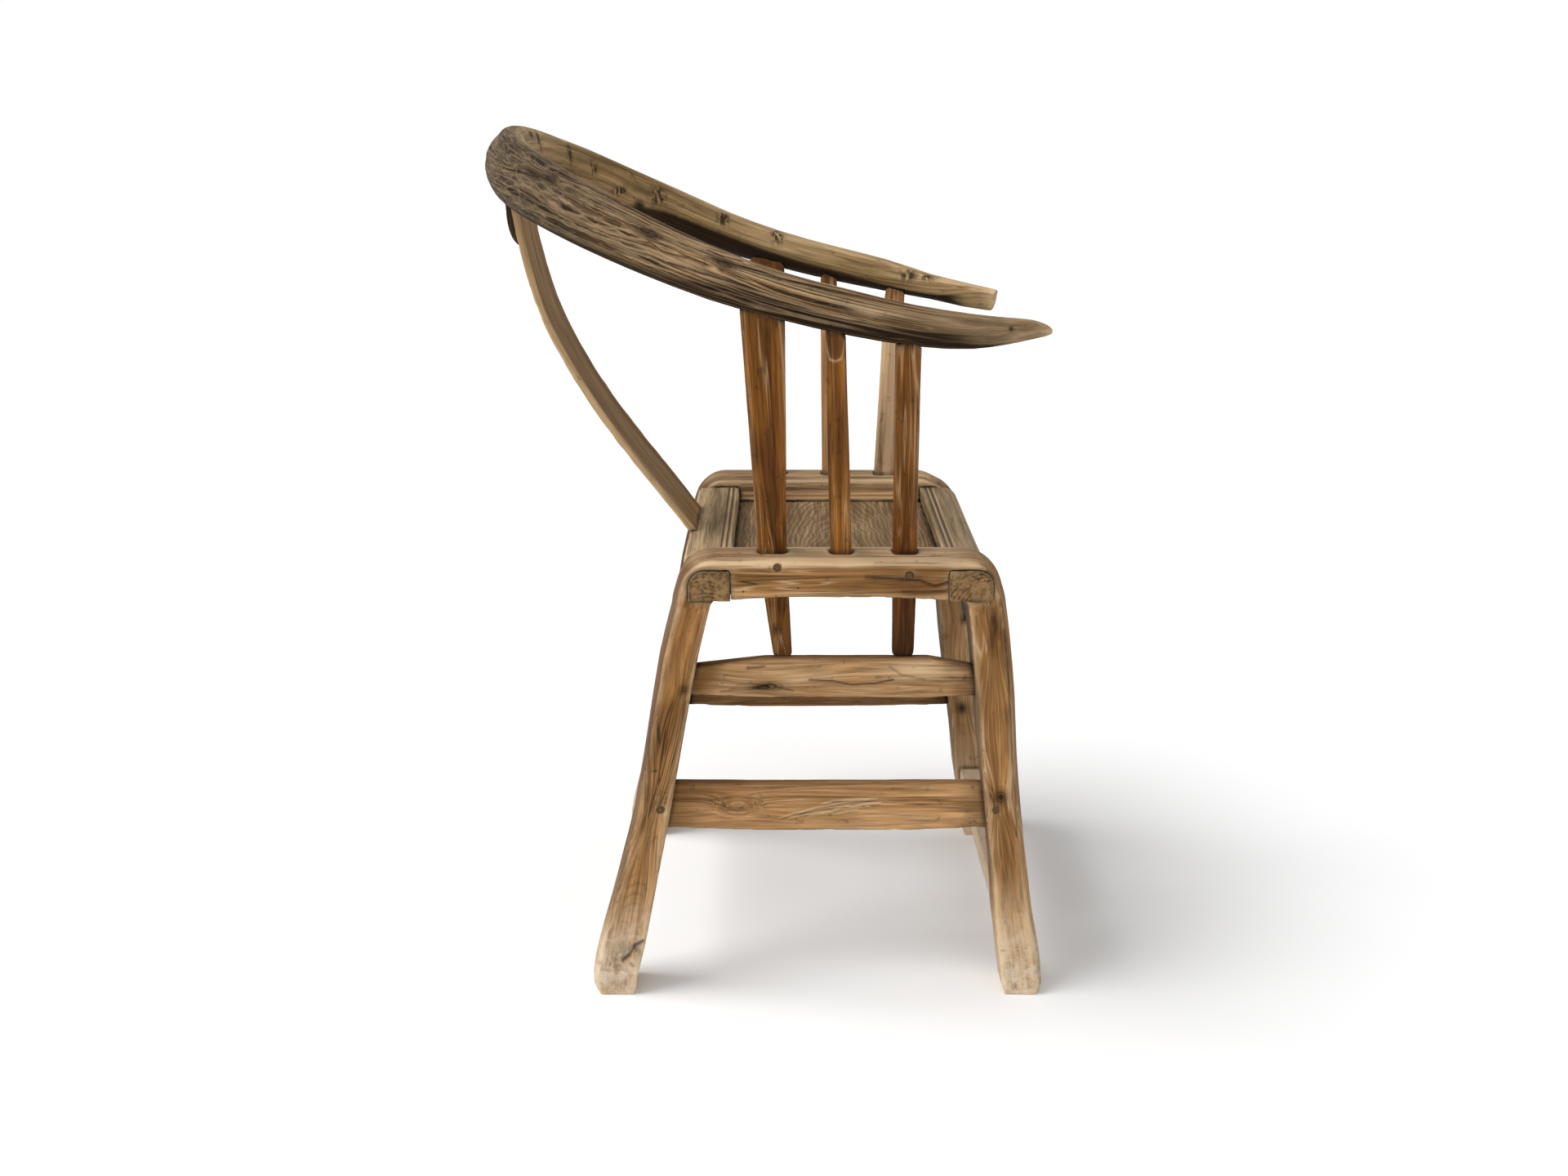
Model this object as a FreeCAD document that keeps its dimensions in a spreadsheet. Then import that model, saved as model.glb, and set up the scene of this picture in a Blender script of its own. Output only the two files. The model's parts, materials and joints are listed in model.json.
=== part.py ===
import FreeCAD, Part
import math
import os
from types import SimpleNamespace

import Sketcher
from FreeCAD import Vector

# A horseshoe back armchair of bent wood. The sitter looks along +X, the sitter's left is +Y,
# and Z is height above the floor. The origin lies on the floor under the middle of the chair.

SIZES = (
    ("seat_width", 510.0, "between the outer faces of the two bent side frames, at the seat"),
    ("seat_height", 499.0, "outer arris of the side rails above the floor"),
    ("seat_opening", 236.0, "clear depth between the front and back seat rails"),
    ("seat_middle", 82.0, "middle of the seat opening, forward of the origin"),
    ("side_rail_depth", 43.0, "side rails, from their outer arris down to the leg shoulders"),
    ("shoulder_height", "seat_height - side_rail_depth", "leg shoulders that carry the ends of the seat rails"),
    ("pole_breadth", 71.0, "bent pole, from its outer to its inner side face"),
    ("pole_thickness", 42.0, "bent pole, from the inside to the outside of the bend"),
    ("rail_crown", 5.0, "rise of the rounded top of a side rail"),
    ("rail_lift", 4.0, "how much higher the underside of a side rail lies than the leg shoulders"),
    ("leg_crown", 7.0, "rise of the rounded front and back of the legs"),
    ("left_leg_crown", 5.0, "the same for the left front leg"),
    ("bend_hollow", 10.0, "inner radius of the two bends"),
    ("bend_swell", 6.0, "extra thickness outside the bends"),
    ("front_strip", 17.0, "thinned pole that wraps the end of the front seat rail"),
    ("back_strip", 19.0, "thinned pole that wraps the end of the back seat rail"),
    ("left_front_setback", 8.5, "how much further back the top of the left front leg stands"),
    ("front_rake", 51.0, "how far the front feet stand forward"),
    ("back_rake", 94.0, "how far the right back foot stands back"),
    ("left_back_shortfall", 5.0, "how much less the left back foot stands back"),
    ("right_splay", 24.0, "how far the right feet stand out"),
    ("left_splay", -4.0, "how far the left feet stand out"),
    ("right_foot_taper", 14.0, "how much narrower the right feet are than the pole"),
    ("left_foot_taper", 4.0, "how much narrower the left feet are than the pole"),
    ("lip_width", 12.0, "ledge inside a side rail that holds the panel"),
    ("lip_drop", 19.0, "top of that ledge under the outer arris of the side rails"),
    ("lip_top", "seat_height - lip_drop", "top of that ledge above the floor"),
    ("front_rail_width", 48.0, "front seat rail, front to back"),
    ("back_rail_width", 46.0, "back seat rail, front to back, at its ends"),
    ("back_rail_fullness", 8.0, "extra width of the back seat rail between the frames"),
    ("rail_end_cover", 9.0, "outer arris of the side rails over the tops of the seat rails"),
    ("rail_end_height", "side_rail_depth - rail_end_cover", "height of the rail ends in the corner notches"),
    ("rail_drop", 12.0, "extra depth of the seat rails between the frames"),
    ("rail_end_proud", 1.0, "how far the rail ends stand out of the frames"),
    ("left_end_cut", 23.0, "how much narrower the front seat rail's left end is"),
    ("front_end_round", 17.0, "rounding of the front rail's outer top corner"),
    ("back_end_round", 19.0, "rounding of the back rail's outer top corner"),
    ("bead_width", 6.0, "bead along the inner edge of the seat rails"),
    ("fillet_width", 4.0, "narrow band beside that bead"),
    ("bead_groove", 2.0, "width of the grooves that set the bead off"),
    ("bead_depth", 1.8, "depth of those grooves"),
    ("panel_drop", 25.0, "upper face of the seat panel under the outer arris of the side rails"),
    ("panel_top", "seat_height - panel_drop", "upper face of the seat panel above the floor"),
    ("panel_thickness", 10.0, "seat panel"),
    ("lip_floor", 3.0, "wood of the side rails' ledge under the panel"),
    ("lip_low", "panel_top - panel_thickness - lip_floor", "underside of that ledge above the floor"),
    ("panel_tongue", 6.0, "depth of the grooves that hold the panel"),
    ("batten_width", 30.0, "brace under the panel"),
    ("batten_height", 18.0, "brace under the panel"),
    ("batten_tenon_height", 9.0, "tenons of that brace"),
    ("batten_tenon_length", 12.0, "tenons of that brace"),
    ("joint_clearance", 0.1, "play in every joint"),
    ("cut_overrun", 5.0, "how far a cut runs past the face that it opens"),
    ("side_stretcher_thickness", 22.0, "side stretchers, across the chair"),
    ("side_stretcher_inset", 27.0, "outer faces of the side stretchers behind those of the legs"),
    ("side_stretcher_round", 5.0, "worn upper edges of the side stretchers"),
    ("tenon_thickness", 10.0, "tenons of the stretchers"),
    ("tenon_length", 22.0, "tenons of the stretchers"),
    ("tenon_shoulder", 5.0, "shoulder above and below a tenon"),
    ("housing_depth", 1.5, "how far the ends of the stretchers are let into the legs"),
    ("upper_stretcher_drop", 72.0, "upper side stretchers under the leg shoulders"),
    ("upper_stretcher_top", "shoulder_height - upper_stretcher_drop", "upper side stretchers, in the middle"),
    ("upper_stretcher_height", 44.0, "upper side stretchers, in the middle"),
    ("left_upper_slimness", 8.5, "how much less the left upper stretcher measures"),
    ("upper_stretcher_taper", 9.0, "how far their tops fall towards the legs"),
    ("right_lower_top", 239.5, "top of the right lower stretcher"),
    ("left_lower_top", 235.0, "top of the left lower stretcher"),
    ("lower_stretcher_height", 51.0, "lower side stretchers, at the legs"),
    ("lower_stretcher_belly", 3.0, "extra depth of the lower side stretchers in the middle"),
    ("back_stretcher_top", 232.0, "top of the stretcher between the back legs"),
    ("back_stretcher_height", 46.0, "stretcher between the back legs"),
    ("back_stretcher_thickness", 24.0, "stretcher between the back legs"),
    ("footrest_top", 98.0, "top of the footrest between the front legs"),
    ("footrest_thickness", 25.0, "footrest"),
    ("footrest_forward", 181.0, "rear edge of the footrest in front of the middle of the seat"),
    ("footrest_back", "seat_middle + footrest_forward", "rear edge of the footrest"),
    ("footrest_depth", 42.0, "footrest, front to back"),
    ("footrest_tenon_inset", 9.0, "shoulders before and behind the footrest's tenons"),
    ("apron_height", 42.0, "brackets of the apron under the front seat rail"),
    ("apron_arch", 20.0, "depth of the apron in its middle"),
    ("apron_bracket", 62.0, "length of the apron's brackets"),
    ("apron_thickness", 16.0, "front apron"),
    ("apron_round", 16.0, "rounding of the brackets"),
    ("arm_half_width", 300.0, "widest place of the horseshoe, to the middle of the pole"),
    ("crest_setback", 374.0, "middle of the pole at the back, behind the middle of the seat"),
    ("crest_back", "crest_setback - seat_middle", "middle of the pole behind the origin"),
    ("arm_reach", 593.5, "horseshoe pole from back to tips"),
    ("crest_rise", 452.0, "top of the horseshoe over the side rails"),
    ("crest_top", "seat_height + crest_rise", "top of the horseshoe above the floor"),
    ("arm_fall", 204.0, "how far the top line falls to the tips"),
    ("left_tip_slant", 7.0, "how much further forward the top of the left tip reaches than its underside"),
    ("crest_height", 77.0, "horseshoe pole at the back, upright"),
    ("crest_thickness", 48.0, "horseshoe pole at the back, front to back"),
    ("post_inset", 39.0, "middle of the posts behind the outer faces of the side frames"),
    ("post_line", "seat_width / 2 - post_inset", "middle of the posts at the seat, from the chair's middle"),
    ("post_foot_inset", 43.0, "middle of the posts' lower ends behind those faces"),
    ("post_foot_line", "seat_width / 2 - post_foot_inset", "middle of the posts' lower ends"),
    ("post_thickness", 27.0, "posts, across the chair"),
    ("post_foot_thickness", 20.0, "posts' lower ends, across the chair"),
    ("post_chamfer", 4.0, "chamfers along the posts"),
    ("post_tenon_width", 14.0, "tenons on top of the posts"),
    ("post_tenon_height", 16.0, "tenons on top of the posts"),
    ("rear_post_setback", 72.5, "rear post behind the middle of the seat"),
    ("rear_post_at", "seat_middle - rear_post_setback", "rear post at the seat"),
    ("rear_post_width", 31.0, "rear post at the seat"),
    ("rear_post_lean", 10.0, "how far its top leans back"),
    ("rear_post_top_width", 46.0, "rear post under the arm"),
    ("rear_post_foot_lead", 11.0, "how much further forward its lower end stands"),
    ("rear_post_foot_at", "rear_post_at + rear_post_foot_lead", "rear post on the upper stretcher"),
    ("rear_post_foot_width", 21.0, "rear post on the upper stretcher"),
    ("middle_post_lead", 2.5, "middle post in front of the middle of the seat"),
    ("middle_post_at", "seat_middle + middle_post_lead", "middle post at the seat"),
    ("middle_post_width", 24.0, "middle post at the seat"),
    ("right_middle_lean", 10.5, "how far its top leans back"),
    ("left_middle_lean", 3.5, "how far its top leans back"),
    ("middle_post_top_width", 21.0, "middle posts under the arm"),
    ("middle_post_depth", 29.0, "how deep the middle post stands in the side rail"),
    ("middle_post_foot", "seat_height - middle_post_depth", "lower end of the middle post, in the side rail"),
    ("front_post_lead", 72.0, "front post in front of the middle of the seat"),
    ("front_post_at", "seat_middle + front_post_lead", "front post at the seat"),
    ("front_post_width", 26.0, "front post at the seat"),
    ("right_front_lean", 4.6, "how far its top leans back"),
    ("left_front_lean", 16.0, "how far its top leans forward"),
    ("front_post_top_width", 25.4, "front post under the arm"),
    ("front_post_foot_width", 24.0, "front post on the upper stretcher"),
    ("splat_width", 128.0, "back splat"),
    ("splat_thickness", 8.5, "back splat"),
    ("splat_foot_inset", 1.5, "front face of the splat in from the back of the rail's ends"),
    ("splat_foot", "seat_opening / 2 - seat_middle + back_rail_width - splat_foot_inset",
     "front face of the splat on the back rail, behind the origin"),
    ("splat_top_lead", 12.0, "front face of the splat's top in front of the middle of the pole"),
    ("splat_sweep", "crest_back - splat_top_lead - splat_foot", "how far the splat leans back to its top"),
    ("splat_reach", 26.0, "how far the splat's line runs on past the underside of the pole"),
    ("splat_rise", "crest_top - crest_height + splat_reach - shoulder_height - rail_end_height",
     "height of the splat over the back rail"),
    ("splat_tenon_width", 80.0, "tenons of the splat"),
    ("splat_tenon_thickness", 6.0, "tenons of the splat"),
    ("splat_tenon_length", 14.0, "tenons of the splat"),
    ("cleat_width", 104.0, "backing piece behind the splat's top"),
    ("cleat_length", 55.0, "backing piece, upright"),
    ("cleat_thickness", 10.0, "backing piece at the crest"),
    ("peg_diameter", 6.6, "wooden pegs"),
    ("rear_peg_lead", 5.5, "pegs in front of the middle of the rear posts"),
    ("rear_peg_at", "rear_post_at + rear_peg_lead", "pegs that hold the rear posts"),
    ("rear_peg_drop", 5.0, "pegs of the rear posts under the outer arris of the side rails"),
    ("rear_peg_level", "seat_height - rear_peg_drop", "pegs that hold the rear posts"),
    ("front_peg_lead", 3.0, "pegs in front of the middle of the front posts"),
    ("front_peg_at", "front_post_at + front_peg_lead", "pegs that hold the front posts"),
    ("front_peg_drop", 14.0, "pegs of the front posts under the outer arris of the side rails"),
    ("front_peg_level", "seat_height - front_peg_drop", "pegs that hold the front posts"),
    ("post_peg_length", 62.0, "pegs that hold the posts"),
    ("stretcher_peg_rise", 7.0, "how far the pegs of the lower stretchers sit over their middles"),
    ("stretcher_peg_length", 46.0, "pegs that hold the lower stretchers"),
)

# Legs from floor to shoulder: level, rake, thickness and narrowing, each a share of its size
FRONT_LEG_SHARES = (
    (0.0, 1.0, 1.08, 1.0),
    (0.045, 0.99, 1.15, 1.0),
    (0.12, 0.90, 1.13, 1.0),
    (0.20, 0.755, 1.07, 1.0),
    (0.305, 0.62, 0.99, 0.98),
    (0.456, 0.453, 0.97, 0.72),
    (0.61, 0.327, 1.01, 0.28),
    (0.76, 0.235, 1.04, 0.06),
    (0.90, 0.10, 1.04, 0.0),
    (0.98, 0.0, 1.03, 0.0),
)
BACK_LEG_SHARES = (
    (0.0, 0.99, 1.14, 1.0),
    (0.045, 1.0, 1.22, 1.0),
    (0.12, 0.93, 1.25, 1.0),
    (0.25, 0.752, 1.14, 1.0),
    (0.355, 0.615, 1.05, 0.94),
    (0.456, 0.49, 0.98, 0.72),
    (0.66, 0.316, 1.0, 0.20),
    (0.86, 0.147, 1.03, 0.0),
    (0.98, 0.0, 1.02, 0.0),
)
# The bend: turn from the leg to the rail, and how much of the swelling is there
BEND_SHARES = ((0.0, 0.0), (0.25, -0.22), (0.5, 0.3), (0.75, 0.5), (1.0, 0.0))
LEFT_FRONT_BEND_SHARES = ((0.0, 0.0), (0.25, -0.35), (0.5, -0.35), (0.75, -0.5), (1.0, 0.0))
# Side rail from front to back: place along it, and share of the lift of its underside
SIDE_RAIL_SHARES = ((0.0, 0.0), (0.25, 1.0), (0.5, 1.0), (0.75, 1.0), (1.0, 0.0))

# The horseshoe from the middle of the back to a tip: across, along, fall of the top line,
# height, thickness, level of the inner lower arris, and share of the crest's fuller section
ARM_SHARES = (
    (0.0, 0.0, 0.0, 1.0, 1.0, -0.36, 1.0),
    (0.17, 0.0045, 0.006, 0.992, 1.0, -0.36, 1.0),
    (0.34, 0.0195, 0.03, 0.961, 1.0, -0.34, 0.9),
    (0.515, 0.0455, 0.072, 0.92, 1.0, -0.32, 0.7),
    (0.69, 0.1011, 0.145, 0.906, 0.98, -0.28, 0.45),
    (0.85, 0.182, 0.26, 0.844, 0.96, -0.24, 0.2),
    (0.955, 0.2831, 0.395, 0.784, 0.95, -0.20, 0.05),
    (1.0, 0.401, 0.55, 0.701, 0.94, -0.18, 0.0),
    (1.0, 0.519, 0.675, 0.629, 0.92, -0.16, 0.0),
    (0.98, 0.637, 0.765, 0.608, 0.90, -0.16, 0.0),
    (0.947, 0.7549, 0.85, 0.551, 0.86, -0.16, 0.0),
)
RIGHT_TIP_SHARES = (
    (0.907, 0.856, 0.903, 0.462, 0.78, -0.18, 0.0),
    (0.877, 0.92, 0.926, 0.353, 0.68, -0.20, 0.0),
    (0.85, 0.9638, 0.94, 0.265, 0.54, -0.22, 0.0),
    (0.838, 0.9874, 0.962, 0.177, 0.38, -0.25, 0.0),
    (0.833, 1.0, 0.985, 0.088, 0.20, -0.28, 0.0),
)
LEFT_TIP_SHARES = (
    (0.907, 0.856, 0.944, 0.422, 0.80, -0.16, 0.0),
    (0.867, 0.93, 0.993, 0.409, 0.76, -0.16, 0.0),
    (0.833, 0.995, 1.034, 0.357, 0.70, -0.16, 0.0),
)
# Cross-section of the horseshoe pole: outward and upward places of its arrises and of the
# rounds between them, as shares of its thickness and height, on the arms and at the crest
ARM_ARRIS_SHARES = ((-0.40, 0.40), (0.32, 0.42), (0.32, -0.40))
CREST_ARRIS_SHARES = ((-0.40, 0.40), (0.17, 0.40), (0.25, -0.42))
ARM_ROUND_SHARES = ((-0.04, 0.5), (0.5, 0.02), (0.04, -0.5), (-0.5, 0.06))
CREST_ROUND_SHARES = ((-0.16, 0.5), (0.5, -0.08), (-0.04, -0.5), (-0.5, 0.06))
POLE_INNER_SHARE = -0.44

# Lean of a post from the seat to the arm: height and outward share
POST_LEAN_SHARES = ((0.25, 0.19), (0.5, 0.43), (0.75, 0.70), (1.0, 1.0))
# Front face of the splat from the back rail up: height and backward share
SPLAT_SHARES = (
    (0.0, 0.0),
    (0.171, 0.271),
    (0.317, 0.494),
    (0.463, 0.684),
    (0.61, 0.833),
    (0.756, 0.924),
    (0.902, 0.982),
    (1.0, 1.0),
)
# Outline of the cleat behind the splat: height share and thickness share
CLEAT_SHARES = ((0.0, 0.15), (0.12, 0.62), (0.45, 0.85), (1.0, 1.0))

doc = FreeCAD.newDocument("HorseshoeArmchair")
sheet = doc.addObject("Spreadsheet::Sheet", "Sizes")


class Size:
    """A length that keeps both its value and the formula that gives it."""

    def __init__(self, value, text):
        self.value = float(value)
        self.text = text

    def __float__(self):
        return self.value

    def __add__(self, other):
        other = as_size(other)
        return Size(self.value + other.value, f"({self.text} + {other.text})")

    def __sub__(self, other):
        other = as_size(other)
        return Size(self.value - other.value, f"({self.text} - {other.text})")

    def __mul__(self, other):
        other = as_size(other)
        return Size(self.value * other.value, f"({self.text} * {other.text})")

    def __truediv__(self, other):
        other = as_size(other)
        return Size(self.value / other.value, f"({self.text} / {other.text})")

    def __neg__(self):
        return self * -1

    def __radd__(self, other):
        return as_size(other) + self

    def __rsub__(self, other):
        return as_size(other) - self

    def __rmul__(self, other):
        return as_size(other) * self


def as_size(thing):
    return thing if isinstance(thing, Size) else Size(thing, f"({float(thing)!r})")


def read_sizes():
    for row, (alias, value, note) in enumerate(SIZES, start=1):
        sheet.set(f"A{row}", alias)
        sheet.setAlias(f"B{row}", alias)
        sheet.set(f"C{row}", note)
    for row, (alias, value, note) in enumerate(SIZES, start=1):
        sheet.set(f"B{row}", f"={value}")
    doc.recompute()
    return SimpleNamespace(**{alias: Size(getattr(sheet, alias), f"Sizes.{alias}") for alias, _, _ in SIZES})


dim = read_sizes()
CLEAR = dim.joint_clearance
LEG_STEPS, BEND_STEPS, RAIL_STEPS, ARM_STEPS = 2, 3, 2, 2
RIGHT, LEFT = -1, 1
SIDE_NAMES = {RIGHT: "right", LEFT: "left"}
pieces = {}


def point(across, side, up):
    return Vector(float(across), float(side), float(up))


def blend(low, high, share):
    return low + (high - low) * share


def slope(rows, index, column):
    low = rows[max(index - 1, 0)]
    high = rows[min(index + 1, len(rows) - 1)]
    return (high[column] - low[column]) / (high[0] - low[0])


def table_value(rows, key, column):
    """Value of a column of shares, read on a smooth curve between the rows by the first column."""
    for index, (low, high) in enumerate(zip(rows, rows[1:])):
        if key > high[0]:
            continue
        gap = high[0] - low[0]
        part = max(key - low[0], 0.0) / gap
        rest = 1 - part
        start, end = low[column], high[column]
        leaving = slope(rows, index, column) * gap
        arriving = slope(rows, index + 1, column) * gap
        curve = start * (1 + 2 * part) * rest ** 2 + leaving * part * rest ** 2
        return curve + end * (3 - 2 * part) * part ** 2 - arriving * rest * part ** 2
    return rows[-1][column]


def closer_rows(rows, steps):
    """The same table with more rows, on the smooth curve through it."""
    made = []
    for low, high in zip(rows, rows[1:]):
        for step in range(steps):
            key = blend(low[0], high[0], step / steps)
            made.append((key,) + tuple(table_value(rows, key, column) for column in range(1, len(low))))
    return made + [rows[-1]]


# Places that several pieces share

seat_back = dim.seat_middle - dim.seat_opening / 2
seat_front = dim.seat_middle + dim.seat_opening / 2
half_seat = dim.seat_width / 2
inner_half = half_seat - dim.pole_breadth
rail_end_top = dim.shoulder_height + dim.rail_end_height
rail_top = dim.seat_height + dim.rail_crown
panel_bottom = dim.panel_top - dim.panel_thickness
back_leg_face = seat_back - dim.back_rail_width - dim.back_strip
splay = {RIGHT: dim.right_splay, LEFT: dim.left_splay}
foot_taper = {RIGHT: dim.right_foot_taper, LEFT: dim.left_foot_taper}
lower_top = {RIGHT: dim.right_lower_top, LEFT: dim.left_lower_top}
upper_depth = {RIGHT: dim.upper_stretcher_height, LEFT: dim.upper_stretcher_height - dim.left_upper_slimness}
right_front_face = seat_front + dim.front_rail_width + dim.front_strip
front_leg_face = {RIGHT: right_front_face, LEFT: right_front_face - dim.left_front_setback}
front_rake = {RIGHT: dim.front_rake, LEFT: dim.front_rake + dim.left_front_setback}
back_rake = {RIGHT: dim.back_rake, LEFT: dim.back_rake - dim.left_back_shortfall}
front_crown = {RIGHT: dim.leg_crown, LEFT: dim.left_leg_crown}


def outer_face(side, level):
    """Distance of a frame's outer side face from the chair's middle."""
    return half_seat + splay[side] * (1 - level / dim.seat_height)


def leg_breadth(side, rows, share):
    return dim.pole_breadth - foot_taper[side] * table_value(rows, share, 3)


def inner_face(side, level, rows):
    return outer_face(side, level) - leg_breadth(side, rows, float(level / dim.shoulder_height))


def front_leg_back(side, level):
    key = float(level / dim.shoulder_height)
    face = front_leg_face[side] + front_rake[side] * table_value(FRONT_LEG_SHARES, key, 1)
    return face - dim.pole_thickness * table_value(FRONT_LEG_SHARES, key, 2)


def back_leg_front(side, level):
    key = float(level / dim.shoulder_height)
    face = back_leg_face - back_rake[side] * table_value(BACK_LEG_SHARES, key, 1)
    return face + dim.pole_thickness * table_value(BACK_LEG_SHARES, key, 2)


# Helpers that draw and cut

def draw_outline(sketch, corners):
    """Closed outline whose every corner is held by two named measures."""
    first = sketch.GeometryCount
    count = len(corners)
    for index, (across, up) in enumerate(corners):
        after = corners[(index + 1) % count]
        start = Vector(float(across), float(up), 0)
        end = Vector(float(after[0]), float(after[1]), 0)
        sketch.addGeometry(Part.LineSegment(start, end), False)
    for index in range(count):
        following = first + (index + 1) % count
        sketch.addConstraint(Sketcher.Constraint("Coincident", first + index, 2, following, 1))
    for index, (across, up) in enumerate(corners):
        for kind, measure in (("DistanceX", across), ("DistanceY", up)):
            measure = as_size(measure)
            row = sketch.addConstraint(Sketcher.Constraint(kind, -1, 1, first + index, 1, measure.value))
            sketch.setExpression(f"Constraints[{row}]", measure.text)


def add_sketch(body, name, plane_role, outlines):
    sketch = body.newObject("Sketcher::SketchObject", name)
    plane = [item for item in body.Origin.OriginFeatures if item.Role == plane_role][0]
    sketch.AttachmentSupport = [(plane, "")]
    sketch.MapMode = "FlatFace"
    for corners in outlines:
        draw_outline(sketch, corners)
    return sketch


def add_pad(body, name, outlines, length, plane_role="XZ_Plane"):
    """Board of the given outline, as thick as length, half on each side of the plane."""
    pad = body.newObject("PartDesign::Pad", name)
    pad.Profile = add_sketch(body, f"{name}_outline", plane_role, outlines)
    pad.SideType = "Symmetric"
    pad.setExpression("Length", as_size(length).text)
    return pad


def add_pocket(body, name, outlines, length, plane_role="XZ_Plane"):
    pocket = body.newObject("PartDesign::Pocket", name)
    pocket.Profile = add_sketch(body, f"{name}_outline", plane_role, outlines)
    pocket.SideType = "Symmetric"
    pocket.setExpression("Length", as_size(length).text)
    return pocket


def add_round_pocket(body, name, centres, radius, length):
    """Round holes across a board, at the given places."""
    pocket = body.newObject("PartDesign::Pocket", name)
    sketch = add_sketch(body, f"{name}_outline", "XZ_Plane", [])
    for across, up in centres:
        middle = Vector(float(across), float(up), 0)
        ring = sketch.addGeometry(Part.Circle(middle, Vector(0, 0, 1), float(radius)), False)
        for kind, measure in (("DistanceX", across), ("DistanceY", up)):
            row = sketch.addConstraint(Sketcher.Constraint(kind, -1, 1, ring, 3, float(measure)))
            sketch.setExpression(f"Constraints[{row}]", as_size(measure).text)
        row = sketch.addConstraint(Sketcher.Constraint("Radius", ring, float(radius)))
        sketch.setExpression(f"Constraints[{row}]", radius.text)
    pocket.Profile = sketch
    pocket.SideType = "Symmetric"
    pocket.setExpression("Length", as_size(length).text)
    return pocket


def round_edges(body, name, feature, radius, wanted):
    """Fillet on the edges of a feature that the wanted test picks by their middle."""
    doc.recompute()
    names = []
    for number, edge in enumerate(feature.Shape.Edges, start=1):
        middle = edge.valueAt((edge.FirstParameter + edge.LastParameter) / 2)
        if wanted(edge, middle):
            names.append(f"Edge{number}")
    fillet = body.newObject("PartDesign::Fillet", name)
    fillet.Base = (feature, names)
    fillet.setExpression("Radius", as_size(radius).text)
    return fillet


def rectangle(left, low, right, high):
    return [(left, low), (right, low), (right, high), (left, high)]


def new_body(label):
    body = doc.addObject("PartDesign::Body", label)
    body.Label = label
    pieces[label] = body
    return body


def keep_shape(label, shape):
    feature = doc.addObject("Part::Feature", label)
    feature.Label = label
    feature.Shape = shape
    feature.Placement = FreeCAD.Placement()
    pieces[label] = feature
    return feature


def block(left, right, near, far, low, high):
    size = [float(right - left), float(far - near), float(high - low)]
    return Part.makeBox(size[0], size[1], size[2], point(left, near, low))


def board(corners, middle, thickness):
    """Solid of an outline in the XZ plane, lying about a middle plane."""
    start = middle - thickness / 2
    points = [point(across, start, up) for across, up in corners]
    face = Part.Face(Part.makePolygon(points + [points[0]]))
    return face.extrude(Vector(0, float(thickness), 0))


def cross_board(corners, middle, thickness):
    """Solid of an outline in the YZ plane, lying about a middle plane."""
    start = middle - thickness / 2
    points = [point(start, across, up) for across, up in corners]
    face = Part.Face(Part.makePolygon(points + [points[0]]))
    return face.extrude(Vector(float(thickness), 0, 0))


def close_loft(wires):
    return Part.makeLoft(wires, True, True)


# Seat rails

def is_long_edge_at(across, up):
    def wanted(edge, middle):
        along = abs(edge.tangentAt(edge.FirstParameter).y) > 0.99
        beside = abs(middle.x - float(across)) < float(CLEAR)
        return along and beside and abs(middle.z - float(up)) < float(CLEAR)
    return wanted


def moulding(edge, way):
    """Two small grooves that set off the bead on the inner edge of a seat rail."""
    outlines = []
    for start in (dim.bead_width, dim.bead_width + dim.bead_groove + dim.fillet_width):
        near = edge + start * way
        far = edge + (start + dim.bead_groove) * way
        middle = edge + (start + dim.bead_groove / 2) * way
        over = rail_end_top + dim.bead_depth
        outlines.append([(near, over), (middle, rail_end_top - dim.bead_depth), (far, over)])
    return outlines


def panel_groove(edge, way):
    start = edge - CLEAR * way
    end = edge + (dim.panel_tongue + CLEAR) * way
    return [(start, panel_bottom - CLEAR), (end, panel_bottom - CLEAR),
            (end, dim.panel_top + CLEAR), (start, dim.panel_top + CLEAR)]


def batten_mortise(edge, way):
    low = panel_bottom - dim.batten_height + dim.tenon_shoulder - CLEAR
    high = low + dim.batten_tenon_height + CLEAR * 2
    start = edge - CLEAR * way
    end = edge + (dim.batten_tenon_length + CLEAR) * way
    return [(start, low), (end, low), (end, high), (start, high)]


def seat_rail(label, edge, way, width, fullness, end_round, left_cut):
    """Rail across the seat; its ends fill the notches of the bent frames."""
    body = new_body(label)
    outer = edge + width * way
    whole = dim.seat_width + dim.rail_end_proud * 2
    between = inner_half * 2 - CLEAR * 2
    add_pad(body, f"{label}_bar", [rectangle(edge, dim.shoulder_height, outer, rail_end_top)], whole)
    low = dim.shoulder_height - dim.rail_drop
    full = outer + fullness * way
    deep = add_pad(body, f"{label}_depth", [rectangle(edge, low, full, rail_end_top)], between)
    last = deep
    if float(fullness) > 0:
        last = round_edges(body, f"{label}_back_round", last, fullness * 0.9,
                           is_long_edge_at(full, rail_end_top))
    round_edges(body, f"{label}_end_round", last, end_round, is_long_edge_at(outer, rail_end_top))
    if float(left_cut) > 0:
        cut = rectangle(outer - left_cut * way, inner_half - CLEAR,
                        outer + dim.cut_overrun, half_seat + dim.cut_overrun)
        add_pocket(body, f"{label}_left_end", [cut], dim.seat_height * 2, "XY_Plane")
    add_pocket(body, f"{label}_moulding", moulding(edge, way), between)
    add_pocket(body, f"{label}_panel_groove", [panel_groove(edge, way)], between)
    add_pocket(body, f"{label}_batten_mortise", [batten_mortise(edge, way)], dim.batten_width + CLEAR * 2)
    return body


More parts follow.
